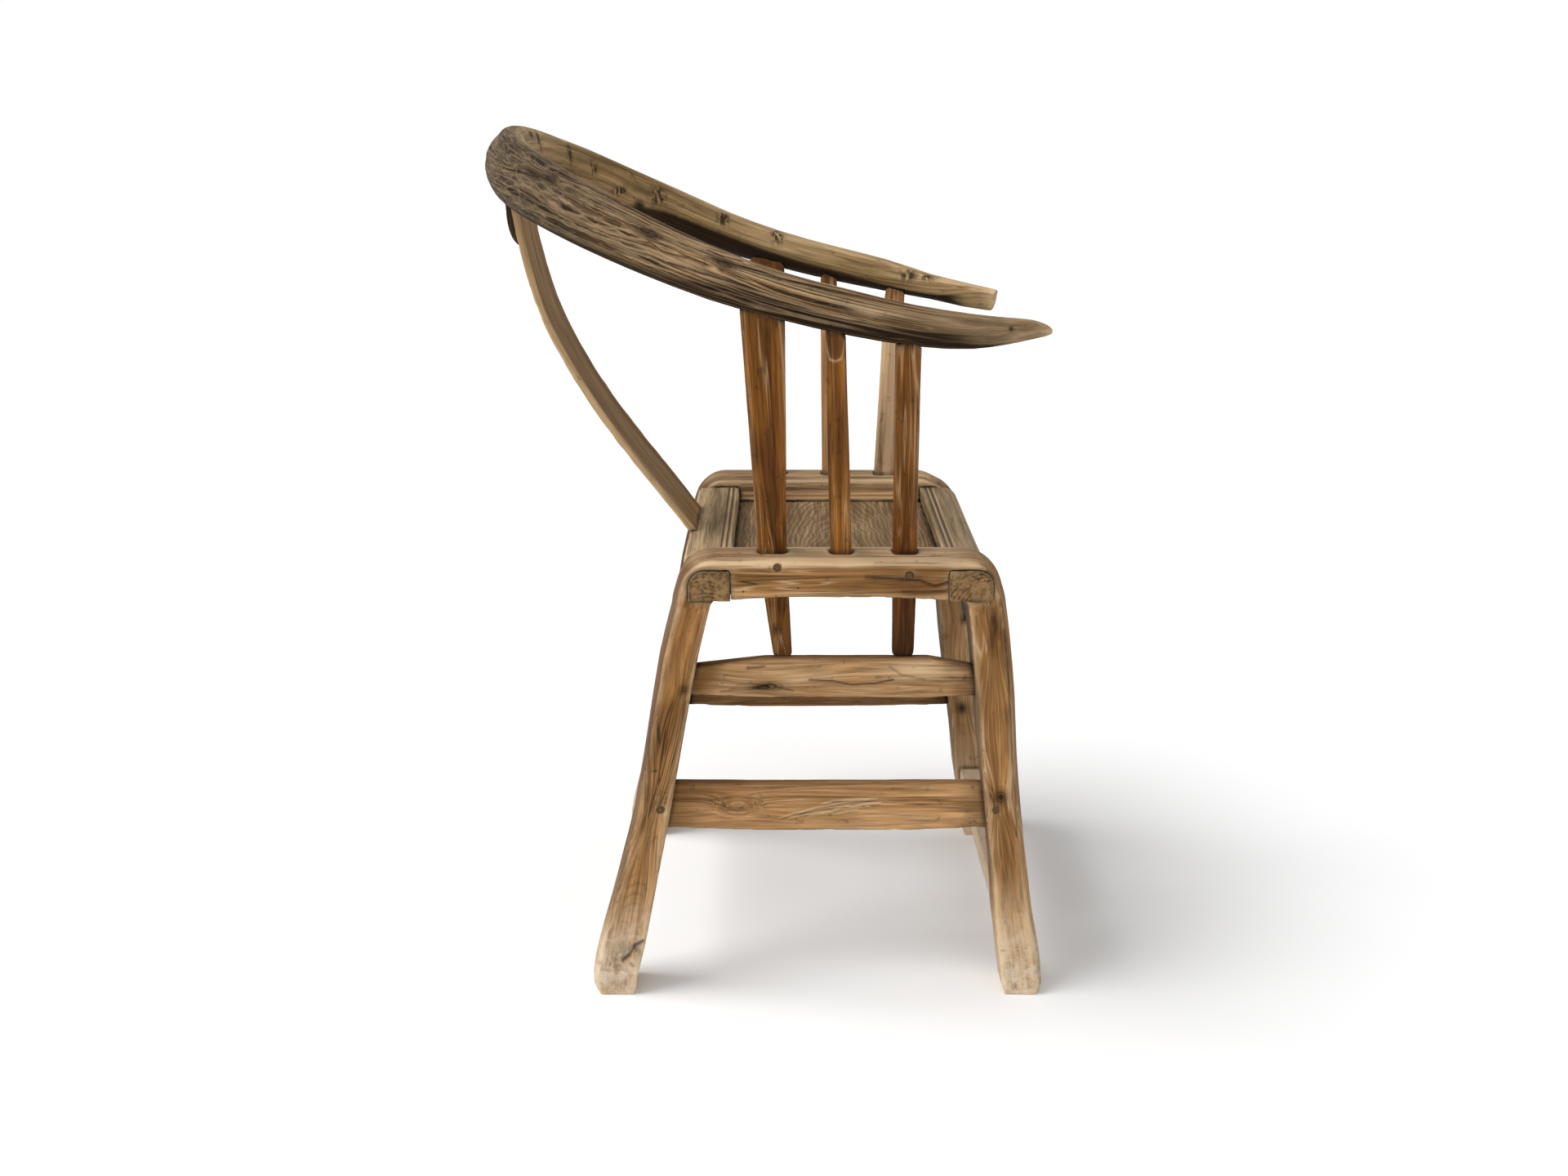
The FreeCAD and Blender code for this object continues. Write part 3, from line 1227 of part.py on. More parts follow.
def main():
    make_seat_rails()
    make_panel()
    make_batten()
    make_side_stretchers()
    make_back_stretcher()
    make_footrest()
    make_apron()
    pole = pole_solid()
    splat = make_splat(pole)
    make_cleat(pole, splat)
    make_posts(pole)
    make_arm_rail(pole)
    for side in (RIGHT, LEFT):
        make_side_frame(side)
    make_pegs("post_pegs", post_peg_places, dim.post_peg_length)
    make_pegs("stretcher_pegs", stretcher_peg_places, dim.stretcher_peg_length)
    doc.recompute()
    faults = [item.Name for item in doc.Objects if "Invalid" in item.State or "Error" in item.State]
    for label, piece in pieces.items():
        if piece.Shape.isNull() or not piece.Shape.isValid():
            faults.append(label)
    if faults:
        raise RuntimeError(f"pieces that failed: {faults}")
    os.makedirs("parts", exist_ok=True)
    for label, piece in pieces.items():
        piece.Shape.exportStep(f"parts/{label}.step")
    for label, piece in sorted(pieces.items()):
        print(label, len(piece.Shape.Solids), round(piece.Shape.Volume))


main()
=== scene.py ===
import json
import math

import bpy
import numpy as np
from bpy.props import FloatProperty, FloatVectorProperty, PointerProperty
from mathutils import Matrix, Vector
from mathutils.bvhtree import BVHTree

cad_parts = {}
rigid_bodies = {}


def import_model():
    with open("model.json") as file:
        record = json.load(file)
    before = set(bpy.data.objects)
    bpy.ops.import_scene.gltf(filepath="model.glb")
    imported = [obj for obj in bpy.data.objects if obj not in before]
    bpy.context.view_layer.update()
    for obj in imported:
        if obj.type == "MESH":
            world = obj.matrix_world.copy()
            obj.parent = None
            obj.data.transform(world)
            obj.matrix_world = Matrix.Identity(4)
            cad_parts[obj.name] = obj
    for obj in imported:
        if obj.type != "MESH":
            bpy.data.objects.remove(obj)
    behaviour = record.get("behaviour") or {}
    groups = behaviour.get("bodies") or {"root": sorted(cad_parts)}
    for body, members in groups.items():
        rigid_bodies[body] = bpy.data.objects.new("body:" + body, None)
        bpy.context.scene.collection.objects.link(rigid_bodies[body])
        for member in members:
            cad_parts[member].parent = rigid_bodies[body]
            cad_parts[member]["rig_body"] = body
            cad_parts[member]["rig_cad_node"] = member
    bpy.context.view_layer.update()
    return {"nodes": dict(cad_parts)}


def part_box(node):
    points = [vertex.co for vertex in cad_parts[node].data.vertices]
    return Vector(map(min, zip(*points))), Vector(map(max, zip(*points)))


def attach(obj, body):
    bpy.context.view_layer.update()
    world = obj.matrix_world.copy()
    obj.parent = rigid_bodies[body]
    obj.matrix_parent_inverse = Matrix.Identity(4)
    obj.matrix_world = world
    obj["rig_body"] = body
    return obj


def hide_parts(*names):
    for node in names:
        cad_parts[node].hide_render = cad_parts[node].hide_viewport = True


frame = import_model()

bl_info = {
    "name": "Horseshoe back armchair",
    "version": (1, 0, 0),
    "blender": (4, 5, 0),
    "location": "3D View > Sidebar > Armchair",
    "description": "Worn copies and wood finishes for the pieces of an old bent-wood armchair",
    "category": "Object",
}

RIGHT, LEFT = -1, 1
SIDES = {"right": RIGHT, "left": LEFT}

# Centre line of the bent pole of a side frame, as depth and height
FRAME_LINE = (
    (-0.171, 0.0), (-0.148, 0.114), (-0.1265, 0.208), (-0.110, 0.301), (-0.093, 0.392),
    (-0.080, 0.447), (-0.073, 0.468), (-0.052, 0.481), (0.0, 0.482), (0.2, 0.482), (0.228, 0.478),
    (0.241, 0.462), (0.2434, 0.447), (0.255, 0.347), (0.2605, 0.278), (0.2677, 0.208),
    (0.2758, 0.139), (0.281, 0.091), (0.287, 0.055), (0.2933, 0.0),
)
# Middle of the splat from its foot to its top, as depth and height
SPLAT_LINE = (
    (-0.0845, 0.490), (-0.1380, 0.562), (-0.1825, 0.6215), (-0.2205, 0.681), (-0.2508, 0.741),
    (-0.2690, 0.801), (-0.2806, 0.8605), (-0.2842, 0.900),
)
# Centre line of the horseshoe from the middle of its back to a tip: depth, half width, height
# and half depth
ARM_LINE = (
    (-0.292, 0.0, 0.911, 0.0385), (-0.2893, 0.051, 0.910, 0.038), (-0.2804, 0.102, 0.907, 0.037),
    (-0.265, 0.1545, 0.900, 0.0355), (-0.232, 0.207, 0.8866, 0.035),
    (-0.184, 0.255, 0.8655, 0.0325), (-0.124, 0.2865, 0.8402, 0.030),
    (-0.054, 0.300, 0.8118, 0.027), (0.016, 0.300, 0.7891, 0.0242), (0.086, 0.294, 0.7715, 0.0234),
    (0.156, 0.2841, 0.7564, 0.0212), (0.216, 0.272, 0.749, 0.0178), (0.254, 0.263, 0.7485, 0.0136),
    (0.280, 0.255, 0.749, 0.0102), (0.3015, 0.250, 0.7466, 0.0075),
)
# Grooves beside the bead on top of the seat rails, as depth
GROOVES = {"front_seat_rail": (0.207, 0.213), "back_seat_rail": (-0.043, -0.049)}
GROOVE_WIDTH, ARRIS_WIDTH, ARRIS_OFFSET = 0.0018, 0.0014, 0.003
# Where a seat rail's top begins and where the panel ends at the sides, each as a soft limit
RAIL_TOP, PANEL_SIDE = (0.4872, 0.4885), (0.181, 0.184)
PANEL_MIDDLE = 0.082
# Lines beside the bead of the splat: distance from the middle, and width
SPLAT_BEAD = ((0.0535, 0.0011), (0.0495, 0.0008))

# Making the worn copies
MERGE_DISTANCE = 0.00002
JOINT_REACH, JOINT_GRIME_AND_SHADE = 0.008, 0.55
PEG_REACH, PEG_GRIME_AND_SHADE = 0.0022, 0.8
TOUCHING = 0.0006
RELIEF = 0.0006
MASKS = ("worn", "grey", "grime", "knot", "ochre", "cut", "scuff", "scar")
HASH = tuple(np.uint32(value) for value in (374761393, 668265263, 2246822519, 3266489917))

# Stage: lamps as name, strength, angle (none: the one of the panel) and direction of the light
LAMPS = (("main_lamp", 2.35, None, (0.60, 0.08, -0.79)),
         ("fill_lamp", 0.9, math.pi / 2, (0.15, 0.83, -0.54)))
FILL_LIGHT = 0.375
FLOOR_SIZE, FLOOR_WHITE, FLOOR_GLOW = 60, (0.95, 0.95, 0.95), 0.02
WHITE = (1.0, 1.0, 1.0)
CAMERA_PLACE, CAMERA_TILT, SENSOR = (0.022, -2.12425, 0.97258), 74.9876, 36

# Marks on the near side frame. Knots: place, size, stretch along the grain, darkness
FRAME_KNOTS = (
    ((0.2617, -0.2677, 0.2356), 0.0075, 1.3, 1.0), ((0.2534, -0.268, 0.2174), 0.006, 1.2, 0.45),
    ((-0.117, -0.268, 0.2281), 0.010, 1.4, 0.4), ((-0.137, -0.269, 0.205), 0.008, 1.6, 0.3),
    ((-0.087, -0.2618, 0.3581), 0.0055, 1.2, 0.8), ((0.2487, -0.2583, 0.4313), 0.008, 2.2, 0.55),
    ((0.2451, -0.2594, 0.4083), 0.006, 2.2, 0.45),
)
# Cracks: places, width, depth, darkness
FRAME_CRACKS = (
    (((0.261, -0.2585, 0.425), (0.265, -0.2585, 0.3988), (0.2703, -0.2633, 0.3256),
      (0.2768, -0.2669, 0.2508), (0.281, -0.2705, 0.19)), 0.0016, 0.0014, 0.75),
    (((0.229, -0.2575, 0.44), (0.233, -0.26, 0.36), (0.237, -0.264, 0.28)), 0.0012, 0.001, 0.5),
    (((0.205, -0.2555, 0.4795), (0.1847, -0.255, 0.4731), (0.1683, -0.255, 0.4795),
      (0.11, -0.2555, 0.483)), 0.0015, 0.0012, 0.9),
    (((0.197, -0.255, 0.4679), (0.18, -0.255, 0.466), (0.15, -0.255, 0.4665)),
     0.0013, 0.001, 0.6),
    (((0.215, -0.2525, 0.4955), (0.18, -0.2525, 0.4985), (0.12, -0.2525, 0.4975)),
     0.0016, 0.0012, 0.8),
    (((0.205, -0.235, 0.502), (0.17, -0.238, 0.503), (0.10, -0.236, 0.5035)),
     0.0014, 0.001, 0.6),
    (((-0.1311, -0.2625, 0.2663), (-0.1191, -0.2662, 0.2658)), 0.0013, 0.001, 0.8),
    (((-0.1588, -0.2769, 0.0428), (-0.1511, -0.2763, 0.0504), (-0.1459, -0.2763, 0.0604),
      (-0.1359, -0.2758, 0.0658)), 0.0022, 0.0022, 0.75),
)
# Scars: place, width, height, darkness
FRAME_SCARS = (((-0.147, -0.276, 0.054), 0.011, 0.009, 0.7),
               ((-0.164, -0.277, 0.045), 0.007, 0.013, 0.5))
ARM_SCARS = (
    ((-0.1404, 0.2548, 0.8602), 0.010, 0.011), ((-0.0573, 0.2787, 0.8297), 0.0085, 0.009),
    ((-0.2423, 0.1503, 0.9182), 0.0045, 0.013), ((-0.2167, 0.1892, 0.8994), 0.006, 0.010),
    ((0.0134, 0.283, 0.8094), 0.008, 0.013), ((0.1849, 0.2596, 0.7583), 0.010, 0.007),
    ((-0.2668, 0.0578, 0.9335), 0.006, 0.013), ((-0.2712, 0.0241, 0.941), 0.012, 0.004),
    ((-0.188, 0.222, 0.868), 0.012, 0.005), ((0.212, 0.252, 0.757), 0.012, 0.005),
)
# Dark knots in the weathered side of the arm rail: place and size
ARM_KNOTS = (((-0.2147, -0.2466, 0.901), 0.0045), ((-0.235, -0.23, 0.903), 0.006),
             ((-0.113, -0.3087, 0.8511), 0.006), ((-0.0381, -0.32, 0.8202), 0.0055))
ARM_PALE, ARM_HOLE = (0.108, -0.312, 0.774), (0.255, -0.2794, 0.7523)
# Rim of the tongue-shaped patch on the near middle post
POST_RIM = ((0.0640, -0.2945, 0.742), (0.0659, -0.2931, 0.7306), (0.0683, -0.2926, 0.7227),
            (0.0742, -0.2923, 0.7203), (0.0801, -0.2932, 0.7228), (0.0823, -0.295, 0.728),
            (0.0835, -0.297, 0.742))
# Cracks in the outer face of the near upper stretcher: depths and heights, width, depth, darkness
UPPER_CRACKS = (
    (((-0.048, 0.3468), (-0.015, 0.3488), (0.004, 0.3535)), 0.0011, 0.0009, 0.6),
    (((-0.038, 0.350), (-0.015, 0.352), (0.004, 0.3535)), 0.0011, 0.0009, 0.5),
    (((-0.03, 0.3545), (-0.015, 0.3565), (0.004, 0.3535)), 0.0011, 0.0009, 0.35),
    (((0.005, 0.356), (0.016, 0.352), (0.032, 0.3475)), 0.0012, 0.001, 0.6),
    (((0.050, 0.3604), (0.0761, 0.359), (0.0978, 0.3547), (0.124, 0.3566), (0.1426, 0.3604)),
     0.0011, 0.001, 0.85),
    (((-0.018, 0.3735), (-0.0095, 0.3742), (0.0, 0.376)), 0.0016, 0.0012, 0.6),
    (((0.138, 0.376), (0.152, 0.366), (0.178, 0.361)), 0.001, 0.0009, 0.5),
)
# Cracks of the near lower stretcher: start, middle and end as depth and height, and darkness
LOWER_CRACKS = (
    ((0.018, 0.1975), (0.050, 0.2062), (0.095, 0.2130), 0.35),
    ((0.028, 0.1972), (0.066, 0.2040), (0.118, 0.2118), 0.3),
    ((0.040, 0.2040), (0.078, 0.2140), (0.118, 0.2195), 0.5),
    ((0.050, 0.1995), (0.084, 0.2030), (0.104, 0.2072), 0.25),
    ((0.066, 0.2150), (0.090, 0.2190), (0.126, 0.2205), 0.4),
    ((0.078, 0.2075), (0.102, 0.2120), (0.130, 0.2160), 0.3),
)
UPPER_FACE, LOWER_FACE = -0.2335, -0.2405


# Properties

def tone(name, description, colour):
    return FloatVectorProperty(name=name, description=description, default=colour, size=3,
                               min=0.0, max=1.0, subtype="COLOR")


def length(name, description, value):
    return FloatProperty(name=name, description=description, default=value, min=0.0,
                         unit="LENGTH", precision=4)


class ArmchairTones(bpy.types.PropertyGroup):
    frame_light: tone("Frame, light", "Light streaks of the bent frames", (0.4, 0.201, 0.069))
    frame_dark: tone("Frame, dark", "Dark streaks of the bent frames", (0.135, 0.057, 0.0145))
    seat_light: tone("Seat rails, light", "Light streaks of the seat rails", (0.396, 0.282, 0.155))
    seat_dark: tone("Seat rails, dark", "Dark streaks of the seat rails", (0.132, 0.083, 0.0374))
    end_light: tone("End grain, light", "Early wood on the ends of the seat rails",
                    (0.281, 0.167, 0.073))
    end_dark: tone("End grain, dark", "Late wood on the ends of the seat rails",
                   (0.059, 0.0292, 0.009))
    panel_light: tone("Panel, light", "Light streaks of the seat panel", (0.34, 0.225, 0.114))
    panel_dark: tone("Panel, dark", "Dark streaks of the seat panel", (0.11, 0.062, 0.026))
    arm_light: tone("Arm rail, light", "Golden side of the arm rail", (0.42, 0.285, 0.135))
    arm_dark: tone("Arm rail, dark", "Darker streaks of the arm rail", (0.19, 0.115, 0.045))
    splat_light: tone("Splat, light", "Light streaks of the splat", (0.389, 0.228, 0.081))
    splat_dark: tone("Splat, dark", "Dark streaks of the splat", (0.179, 0.092, 0.0266))
    post_light: tone("Posts, light", "Light streaks of the posts", (0.318, 0.119, 0.014))
    post_dark: tone("Posts, dark", "Dark streaks of the posts", (0.088, 0.0274, 0.0028))
    stretcher_light: tone("Stretchers, light", "Light streaks of the stretchers",
                          (0.493, 0.28, 0.124))
    stretcher_dark: tone("Stretchers, dark", "Dark streaks of the stretchers",
                         (0.193, 0.092, 0.03))
    # Near-black tones of the cleat and the apron: painted shade, since both sit in shadow behind
    # the splat and under the seat
    hidden_light: tone("Hidden pieces, light", "Light streaks of the cleat and the apron",
                       (0.05, 0.032, 0.018))
    hidden_dark: tone("Hidden pieces, dark", "Dark streaks of the cleat and the apron",
                      (0.018, 0.011, 0.006))
    peg_light: tone("Pegs, light", "Pale specks of the pegs", (0.19, 0.105, 0.045))
    peg_dark: tone("Pegs, dark", "Dark specks of the pegs", (0.05, 0.026, 0.010))
    weathered: tone("Weathered grey", "Wood that has gone grey", (0.118, 0.090, 0.066))
    worn: tone("Worn wood", "Pale wood at feet and edges", (0.67, 0.475, 0.275))
    scuffed: tone("Scuffed wood", "Whitish scuffs on the feet", (0.74, 0.63, 0.49))
    arm_back: tone("Arm rail, back", "Dark ground of the outer side at the back",
                   (0.0108, 0.0094, 0.0103))
    arm_outer: tone("Arm rail, outside", "Brown of the outer side between back and tips",
                    (0.128, 0.058, 0.0145))
    arm_tip: tone("Arm rail, tips", "Grey-brown of the tips", (0.215, 0.138, 0.072))
    bead: tone("Splat lines", "Lines beside the bead of the splat", (0.085, 0.035, 0.010))
    ochre: tone("Ochre", "Golden wood that was never handled", (0.21, 0.096, 0.019))
    # Dark colour for dirt in cracks and hollows; the same colour is the painted shade under the
    # pieces, on their inner faces and at the joints
    grime: tone("Old dirt", "Dirt in hollows and under pieces", (0.016, 0.008, 0.003))
    ridge: tone("Ridges", "Raised growth rings of the arm rail", (0.55, 0.378, 0.21))


class ArmchairSizes(bpy.types.PropertyGroup):
    large_mesh: length("Mesh of long pieces", "Edge length on frames, arm rail and panel", 0.0021)
    small_mesh: length("Mesh of small pieces", "Edge length on all other pieces", 0.0015)
    chips: length("Chips", "Depth of the chips along the arrises", 0.0013)
    unevenness: length("Unevenness", "Height of the hand-worked waves", 0.0006)
    fibre_height: length("Fibre height", "Height of raised fibres", 0.00025)
    lens: FloatProperty(name="Lens", description="Focal length of the camera in millimetres",
                        default=41.25)
    lamp_angle: FloatProperty(name="Softness", description="Angle that the main lamp spans",
                              default=math.radians(42), subtype="ANGLE")


def sizes():
    return bpy.context.scene.armchair_sizes


def tones():
    return bpy.context.scene.armchair_tones


# Smooth noise on points, the same on each run

def three(scale):
    """Three numbers: one for all, one along and one across the grain, or each its own."""
    if isinstance(scale, (int, float)):
        return (scale,) * 3
    return (*scale, scale[-1])[:3]


def scatter(cells, seed):
    """Repeatable number from 0 to 1 for each whole-number cell."""
    columns = cells.astype(np.int64).astype(np.uint32)
    mixed = columns[:, 0] * HASH[0] ^ columns[:, 1] * HASH[1] ^ columns[:, 2] * HASH[2]
    mixed ^= np.uint32(seed * 40503 + 9176)
    for shift, factor in ((15, HASH[2]), (13, HASH[3])):
        mixed = (mixed ^ (mixed >> np.uint32(shift))) * factor
    return (mixed ^ (mixed >> np.uint32(16))).astype(float) / (2 ** 32 - 1)


def waves(points, scale, seed):
    """Smooth noise from -1 to 1; scale is in waves a metre along each direction."""
    place = points * np.array(three(scale))
    base = np.floor(place)
    part = place - base
    part = part * part * (3 - 2 * part)
    total = np.zeros(len(points))
    for corner in np.ndindex(2, 2, 2):
        weight = np.prod(np.where(np.array(corner) == 1, part, 1 - part), axis=1)
        total += weight * scatter(base + corner, seed)
    return total * 2 - 1


def ramp(values, low, high):
    """0 below low, 1 above high, and smooth between them."""
    part = np.clip((values - low) / (high - low), 0, 1)
    return part * part * (3 - 2 * part)


# Directions of the grain

def straight(axis):
    """Grain along one axis: distance along it, then the two places across it."""
    order = {"X": (0, 1, 2), "Y": (1, 0, 2), "Z": (2, 0, 1)}[axis]
    return lambda points: points[:, order]


def leaning(node):
    """Grain that follows an upright piece which leans and bends."""
    corners = np.array([tuple(vertex.co) for vertex in frame["nodes"][node].data.vertices])
    bends = [np.polyfit(corners[:, 2], corners[:, axis], 2) for axis in (0, 1)]

    def grain(points):
        across = [points[:, axis] - np.polyval(bend, points[:, 2])
                  for axis, bend in enumerate(bends)]
        return np.column_stack([points[:, 2]] + across)
    return grain


def smooth_line(rows, steps=4):
    """More points on a smooth curve through the given ones."""
    rows = np.array(rows, float)
    ends = np.vstack([2 * rows[0] - rows[1], rows, 2 * rows[-1] - rows[-2]])
    made = []
    for before, start, end, after in zip(ends, ends[1:], ends[2:], ends[3:]):
        for step in range(steps):
            part = step / steps
            made.append(0.5 * (2 * start + (end - before) * part
                               + (2 * before - 5 * start + 4 * end - after) * part ** 2
                               + (3 * start - before - 3 * end + after) * part ** 3))
    return np.array(made + [rows[-1]])


def follow(line, points):
    """Distance along a flat line and signed distance beside it, for flat points."""
    line = smooth_line(line)
    starts, ways = line[:-1], np.diff(line, axis=0)
    lengths = np.linalg.norm(ways, axis=1)
    travelled = np.concatenate([[0], np.cumsum(lengths)])
    best = np.full(len(points), 1e9)
    along = np.zeros(len(points))
    beside = np.zeros(len(points))
    for index, (start, way, size) in enumerate(zip(starts, ways, lengths)):
        unit = way / size
        rel = points - start
        held = np.clip(rel @ unit, 0, size)
        gap = np.linalg.norm(rel - held[:, None] * unit, axis=1)
        nearer = gap < best
        best[nearer] = gap[nearer]
        along[nearer] = travelled[index] + held[nearer]
        beside[nearer] = (rel[:, 0] * unit[1] - rel[:, 1] * unit[0])[nearer]
    return along, beside


def frame_grain(points):
    along, beside = follow(FRAME_LINE, points[:, [0, 2]])
    return np.column_stack([along, beside, points[:, 1]])


def splat_grain(points):
    along, beside = follow(SPLAT_LINE, points[:, [0, 2]])
    return np.column_stack([along, points[:, 1], beside])


def arm_run(points):
    """Distance along the horseshoe from the middle of its back, and outwards from its line."""
    flat = np.column_stack([points[:, 0], np.abs(points[:, 1])])
    along, beside = follow([row[:2] for row in ARM_LINE], flat)
    return along, -beside


def arm_level(along):
    """Height and half depth of the horseshoe at a distance along it."""
    line = smooth_line(ARM_LINE)
    steps = np.linalg.norm(np.diff(line[:, :2], axis=0), axis=1)
    travelled = np.concatenate([[0], np.cumsum(steps)])
    return np.interp(along, travelled, line[:, 2]), np.interp(along, travelled, line[:, 3])


def arm_grain(points):
    along, outward = arm_run(points)
    middle, _ = arm_level(along)
    return np.column_stack([along * np.sign(points[:, 1] + 1e-9), outward, points[:, 2] - middle])


# Worn copies of the frame pieces

def read_triples(source, name):
    values = np.zeros(len(source) * 3)
    source.foreach_get(name, values)
    return values.reshape(-1, 3)


class Surface:
    """The points of a piece while it is being worn, and what its finish will read."""

    def __init__(self, piece, grain, node):
        self.mesh = piece.data
        self.low, self.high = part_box(node)
        self.points = read_triples(self.mesh.vertices, "co")
        self.normals = read_triples(self.mesh.vertices, "normal")
        self.grain_of = grain
        self.grain = grain(self.points)
        self.push = np.zeros(len(self.points))
        self.masks = {name: np.zeros(len(self.points)) for name in MASKS}
        self.edges = self.edge_share()

    def edge_share(self):
        """How sharply the piece turns outwards at each point, from 0 to 1."""
        pairs = np.zeros(len(self.mesh.edges) * 2, np.int32)
        self.mesh.edges.foreach_get("vertices", pairs)
        pairs = pairs.reshape(-1, 2)
        ends = np.concatenate([pairs[:, 0], pairs[:, 1]])
        others = np.concatenate([pairs[:, 1], pairs[:, 0]])
        count = np.maximum(np.bincount(ends, minlength=len(self.points)), 1)

        def even(values, times):
            for _ in range(times):
                values = np.column_stack([
                    np.bincount(ends, weights=column[others], minlength=len(column)) / count
                    for column in values.T])
            return values
        self.normals = even(self.normals, 4)
        self.normals /= np.linalg.norm(self.normals, axis=1)[:, None] + 1e-9
        out = ((even(self.points, 2) - even(self.points, 7)) * self.normals).sum(axis=1)
        return even(ramp(out, 0.00015, 0.0008)[:, None], 3)[:, 0]

    def add(self, mask, amount):
        self.masks[mask] = np.clip(self.masks[mask] + amount, 0, 1)

    def near(self, place, radius, stretch=2.0):
        """1 at a place and 0 away from it, drawn out along the grain."""
        rel = self.grain - self.grain_of(np.array([place], float))
        rel[:, 0] /= stretch
        return np.exp(-(rel ** 2).sum(axis=1) / radius ** 2), rel

    def touch(self, others, reach, amount):
        """Dirt and painted shade where the piece comes close to other pieces."""
        gaps = np.full(len(self.points), reach)
        for index, spot in enumerate(self.points):
            found = others.find_nearest(Vector(spot), reach)
            if found[3] is not None:
                gaps[index] = found[3]
        uneven = waves(self.points, 70, 91) * 0.35
        dirt_and_shade = np.clip(ramp(-gaps, -reach, -TOUCHING) * (0.85 + uneven), 0, 1)
        self.add("grime", dirt_and_shade ** 1.8 * amount)

    def chip(self, depth, seed):
        """Chips and dents along the arrises."""
        lost = ramp(waves(self.points, 55, seed), 0.15, 0.6) * self.edges
        fine = ramp(waves(self.points, 100, seed + 1), 0.2, 0.6) * self.edges
        self.push -= depth * (lost + 0.5 * fine)
        self.add("worn", 0.25 * lost)

    def knot(self, place, radius, stretch=1.6, dark=1.0):
        """A dark knot that the grain flows round."""
        share, rel = self.near(place, radius, stretch)
        wide, _ = self.near(place, radius * 2.6, stretch * 1.5)
        self.grain[:, 1:] += rel[:, 1:] * (wide * 0.9)[:, None]
        self.add("knot", share * dark)
        self.push += 0.0006 * wide - 0.0012 * share * dark

    def scar(self, place, wide, high, dark=1.5):
        """A rough mark that runs across the grain, left by bark or insects."""
        rel = self.points - np.array(place)
        flat = (rel[:, 0] ** 2 + rel[:, 1] ** 2) / wide ** 2
        self.add("scar", np.exp(-flat - rel[:, 2] ** 2 / high ** 2) * dark)

    def crack(self, places, width, depth, dark=1.0):
        """A crack through the given places."""
        line = np.array(places, float)
        gap = np.full(len(self.points), 1.0)
        for start, end in zip(line[:-1], line[1:]):
            way = end - start
            part = np.clip(((self.points - start) @ way) / (way @ way), 0, 1)
            off = self.points - start - part[:, None] * way
            gap = np.minimum(gap, np.linalg.norm(off, axis=1))
        share = np.exp(-(gap / width) ** 2)
        self.add("grime", share * dark)
        self.push -= share * depth

    def pale_line(self, places, width, depth, strength, share):
        """A crack that is pale in place of dark."""
        before = self.masks["grime"].copy()
        self.crack(places, width, depth, strength)
        self.add("worn", (self.masks["grime"] - before) * share)
        self.masks["grime"] = before

    def finish(self):
        """Moves the points and writes what the finish reads."""
        moved = np.clip(self.points + self.normals * self.push[:, None], self.low, self.high)
        self.mesh.vertices.foreach_set("co", moved.astype(np.float32).ravel())
        self.mesh.update()
        grain = self.mesh.attributes.new("grain", "FLOAT_VECTOR", "POINT")
        grain.data.foreach_set("vector", self.grain.astype(np.float32).ravel())
        for name, values in self.masks.items():
            layer = self.mesh.attributes.new(name, "FLOAT", "POINT")
            layer.data.foreach_set("value", values.astype(np.float32))


def worn_copy(node, voxel, soften):
    """A copy of a frame piece with an even, softened mesh, which stands for that piece."""
    source = frame["nodes"][node]
    bpy.ops.object.select_all(action="DESELECT")
    source.select_set(True)
    bpy.context.view_layer.objects.active = source
    bpy.ops.object.duplicate()
    piece = bpy.context.view_layer.objects.active
    piece.name = f"worn_{node}"
    piece.data.name = piece.name
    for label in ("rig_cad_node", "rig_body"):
        del piece[label]
    bpy.ops.object.mode_set(mode="EDIT")
    bpy.ops.mesh.select_all(action="SELECT")
    bpy.ops.mesh.remove_doubles(threshold=MERGE_DISTANCE)
    bpy.ops.object.mode_set(mode="OBJECT")
    even = piece.modifiers.new("Even mesh", "REMESH")
    even.mode = "VOXEL"
    even.voxel_size = voxel
    bpy.ops.object.modifier_apply(modifier=even.name)
    soft = piece.modifiers.new("Worn edges", "SMOOTH")
    soft.factor = 0.5
    soft.iterations = soften
    bpy.ops.object.modifier_apply(modifier=soft.name)
    bpy.ops.object.shade_smooth()
    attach(piece, "root")
    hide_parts(node)
    return piece


def tree_of_others(node, pegs):
    """Search tree of the pegs, or of all other frame pieces but one."""
    corners, faces = [], []
    for name, piece in frame["nodes"].items():
        if name == node or name.endswith("pegs") != pegs:
            continue
        start = len(corners)
        corners.extend(vertex.co for vertex in piece.data.vertices)
        faces.extend([start + corner for corner in face.vertices] for face in piece.data.polygons)
    return BVHTree.FromPolygons(corners, faces)


def dress(node, grain, finish, mark, soften, seed, voxel=None):
    """Worn copy of a node with its marks of age and its finish; a small mesh unless told."""
    piece = worn_copy(node, voxel or sizes().small_mesh, soften)
    surface = Surface(piece, grain, node)
    wave = waves(surface.grain, (7, 38), seed) + 0.5 * waves(surface.grain, (16, 90), seed + 1)
    surface.push += sizes().unevenness * wave
    surface.push += sizes().fibre_height * waves(surface.grain, (9, 130), seed + 2)
    surface.chip(sizes().chips, seed + 3)
    surface.touch(tree_of_others(node, False), JOINT_REACH, JOINT_GRIME_AND_SHADE)
    surface.touch(tree_of_others(node, True), PEG_REACH, PEG_GRIME_AND_SHADE)
    mark(surface)
    surface.finish()
    piece.data.materials.clear()
    piece.data.materials.append(finish)


# Finishes

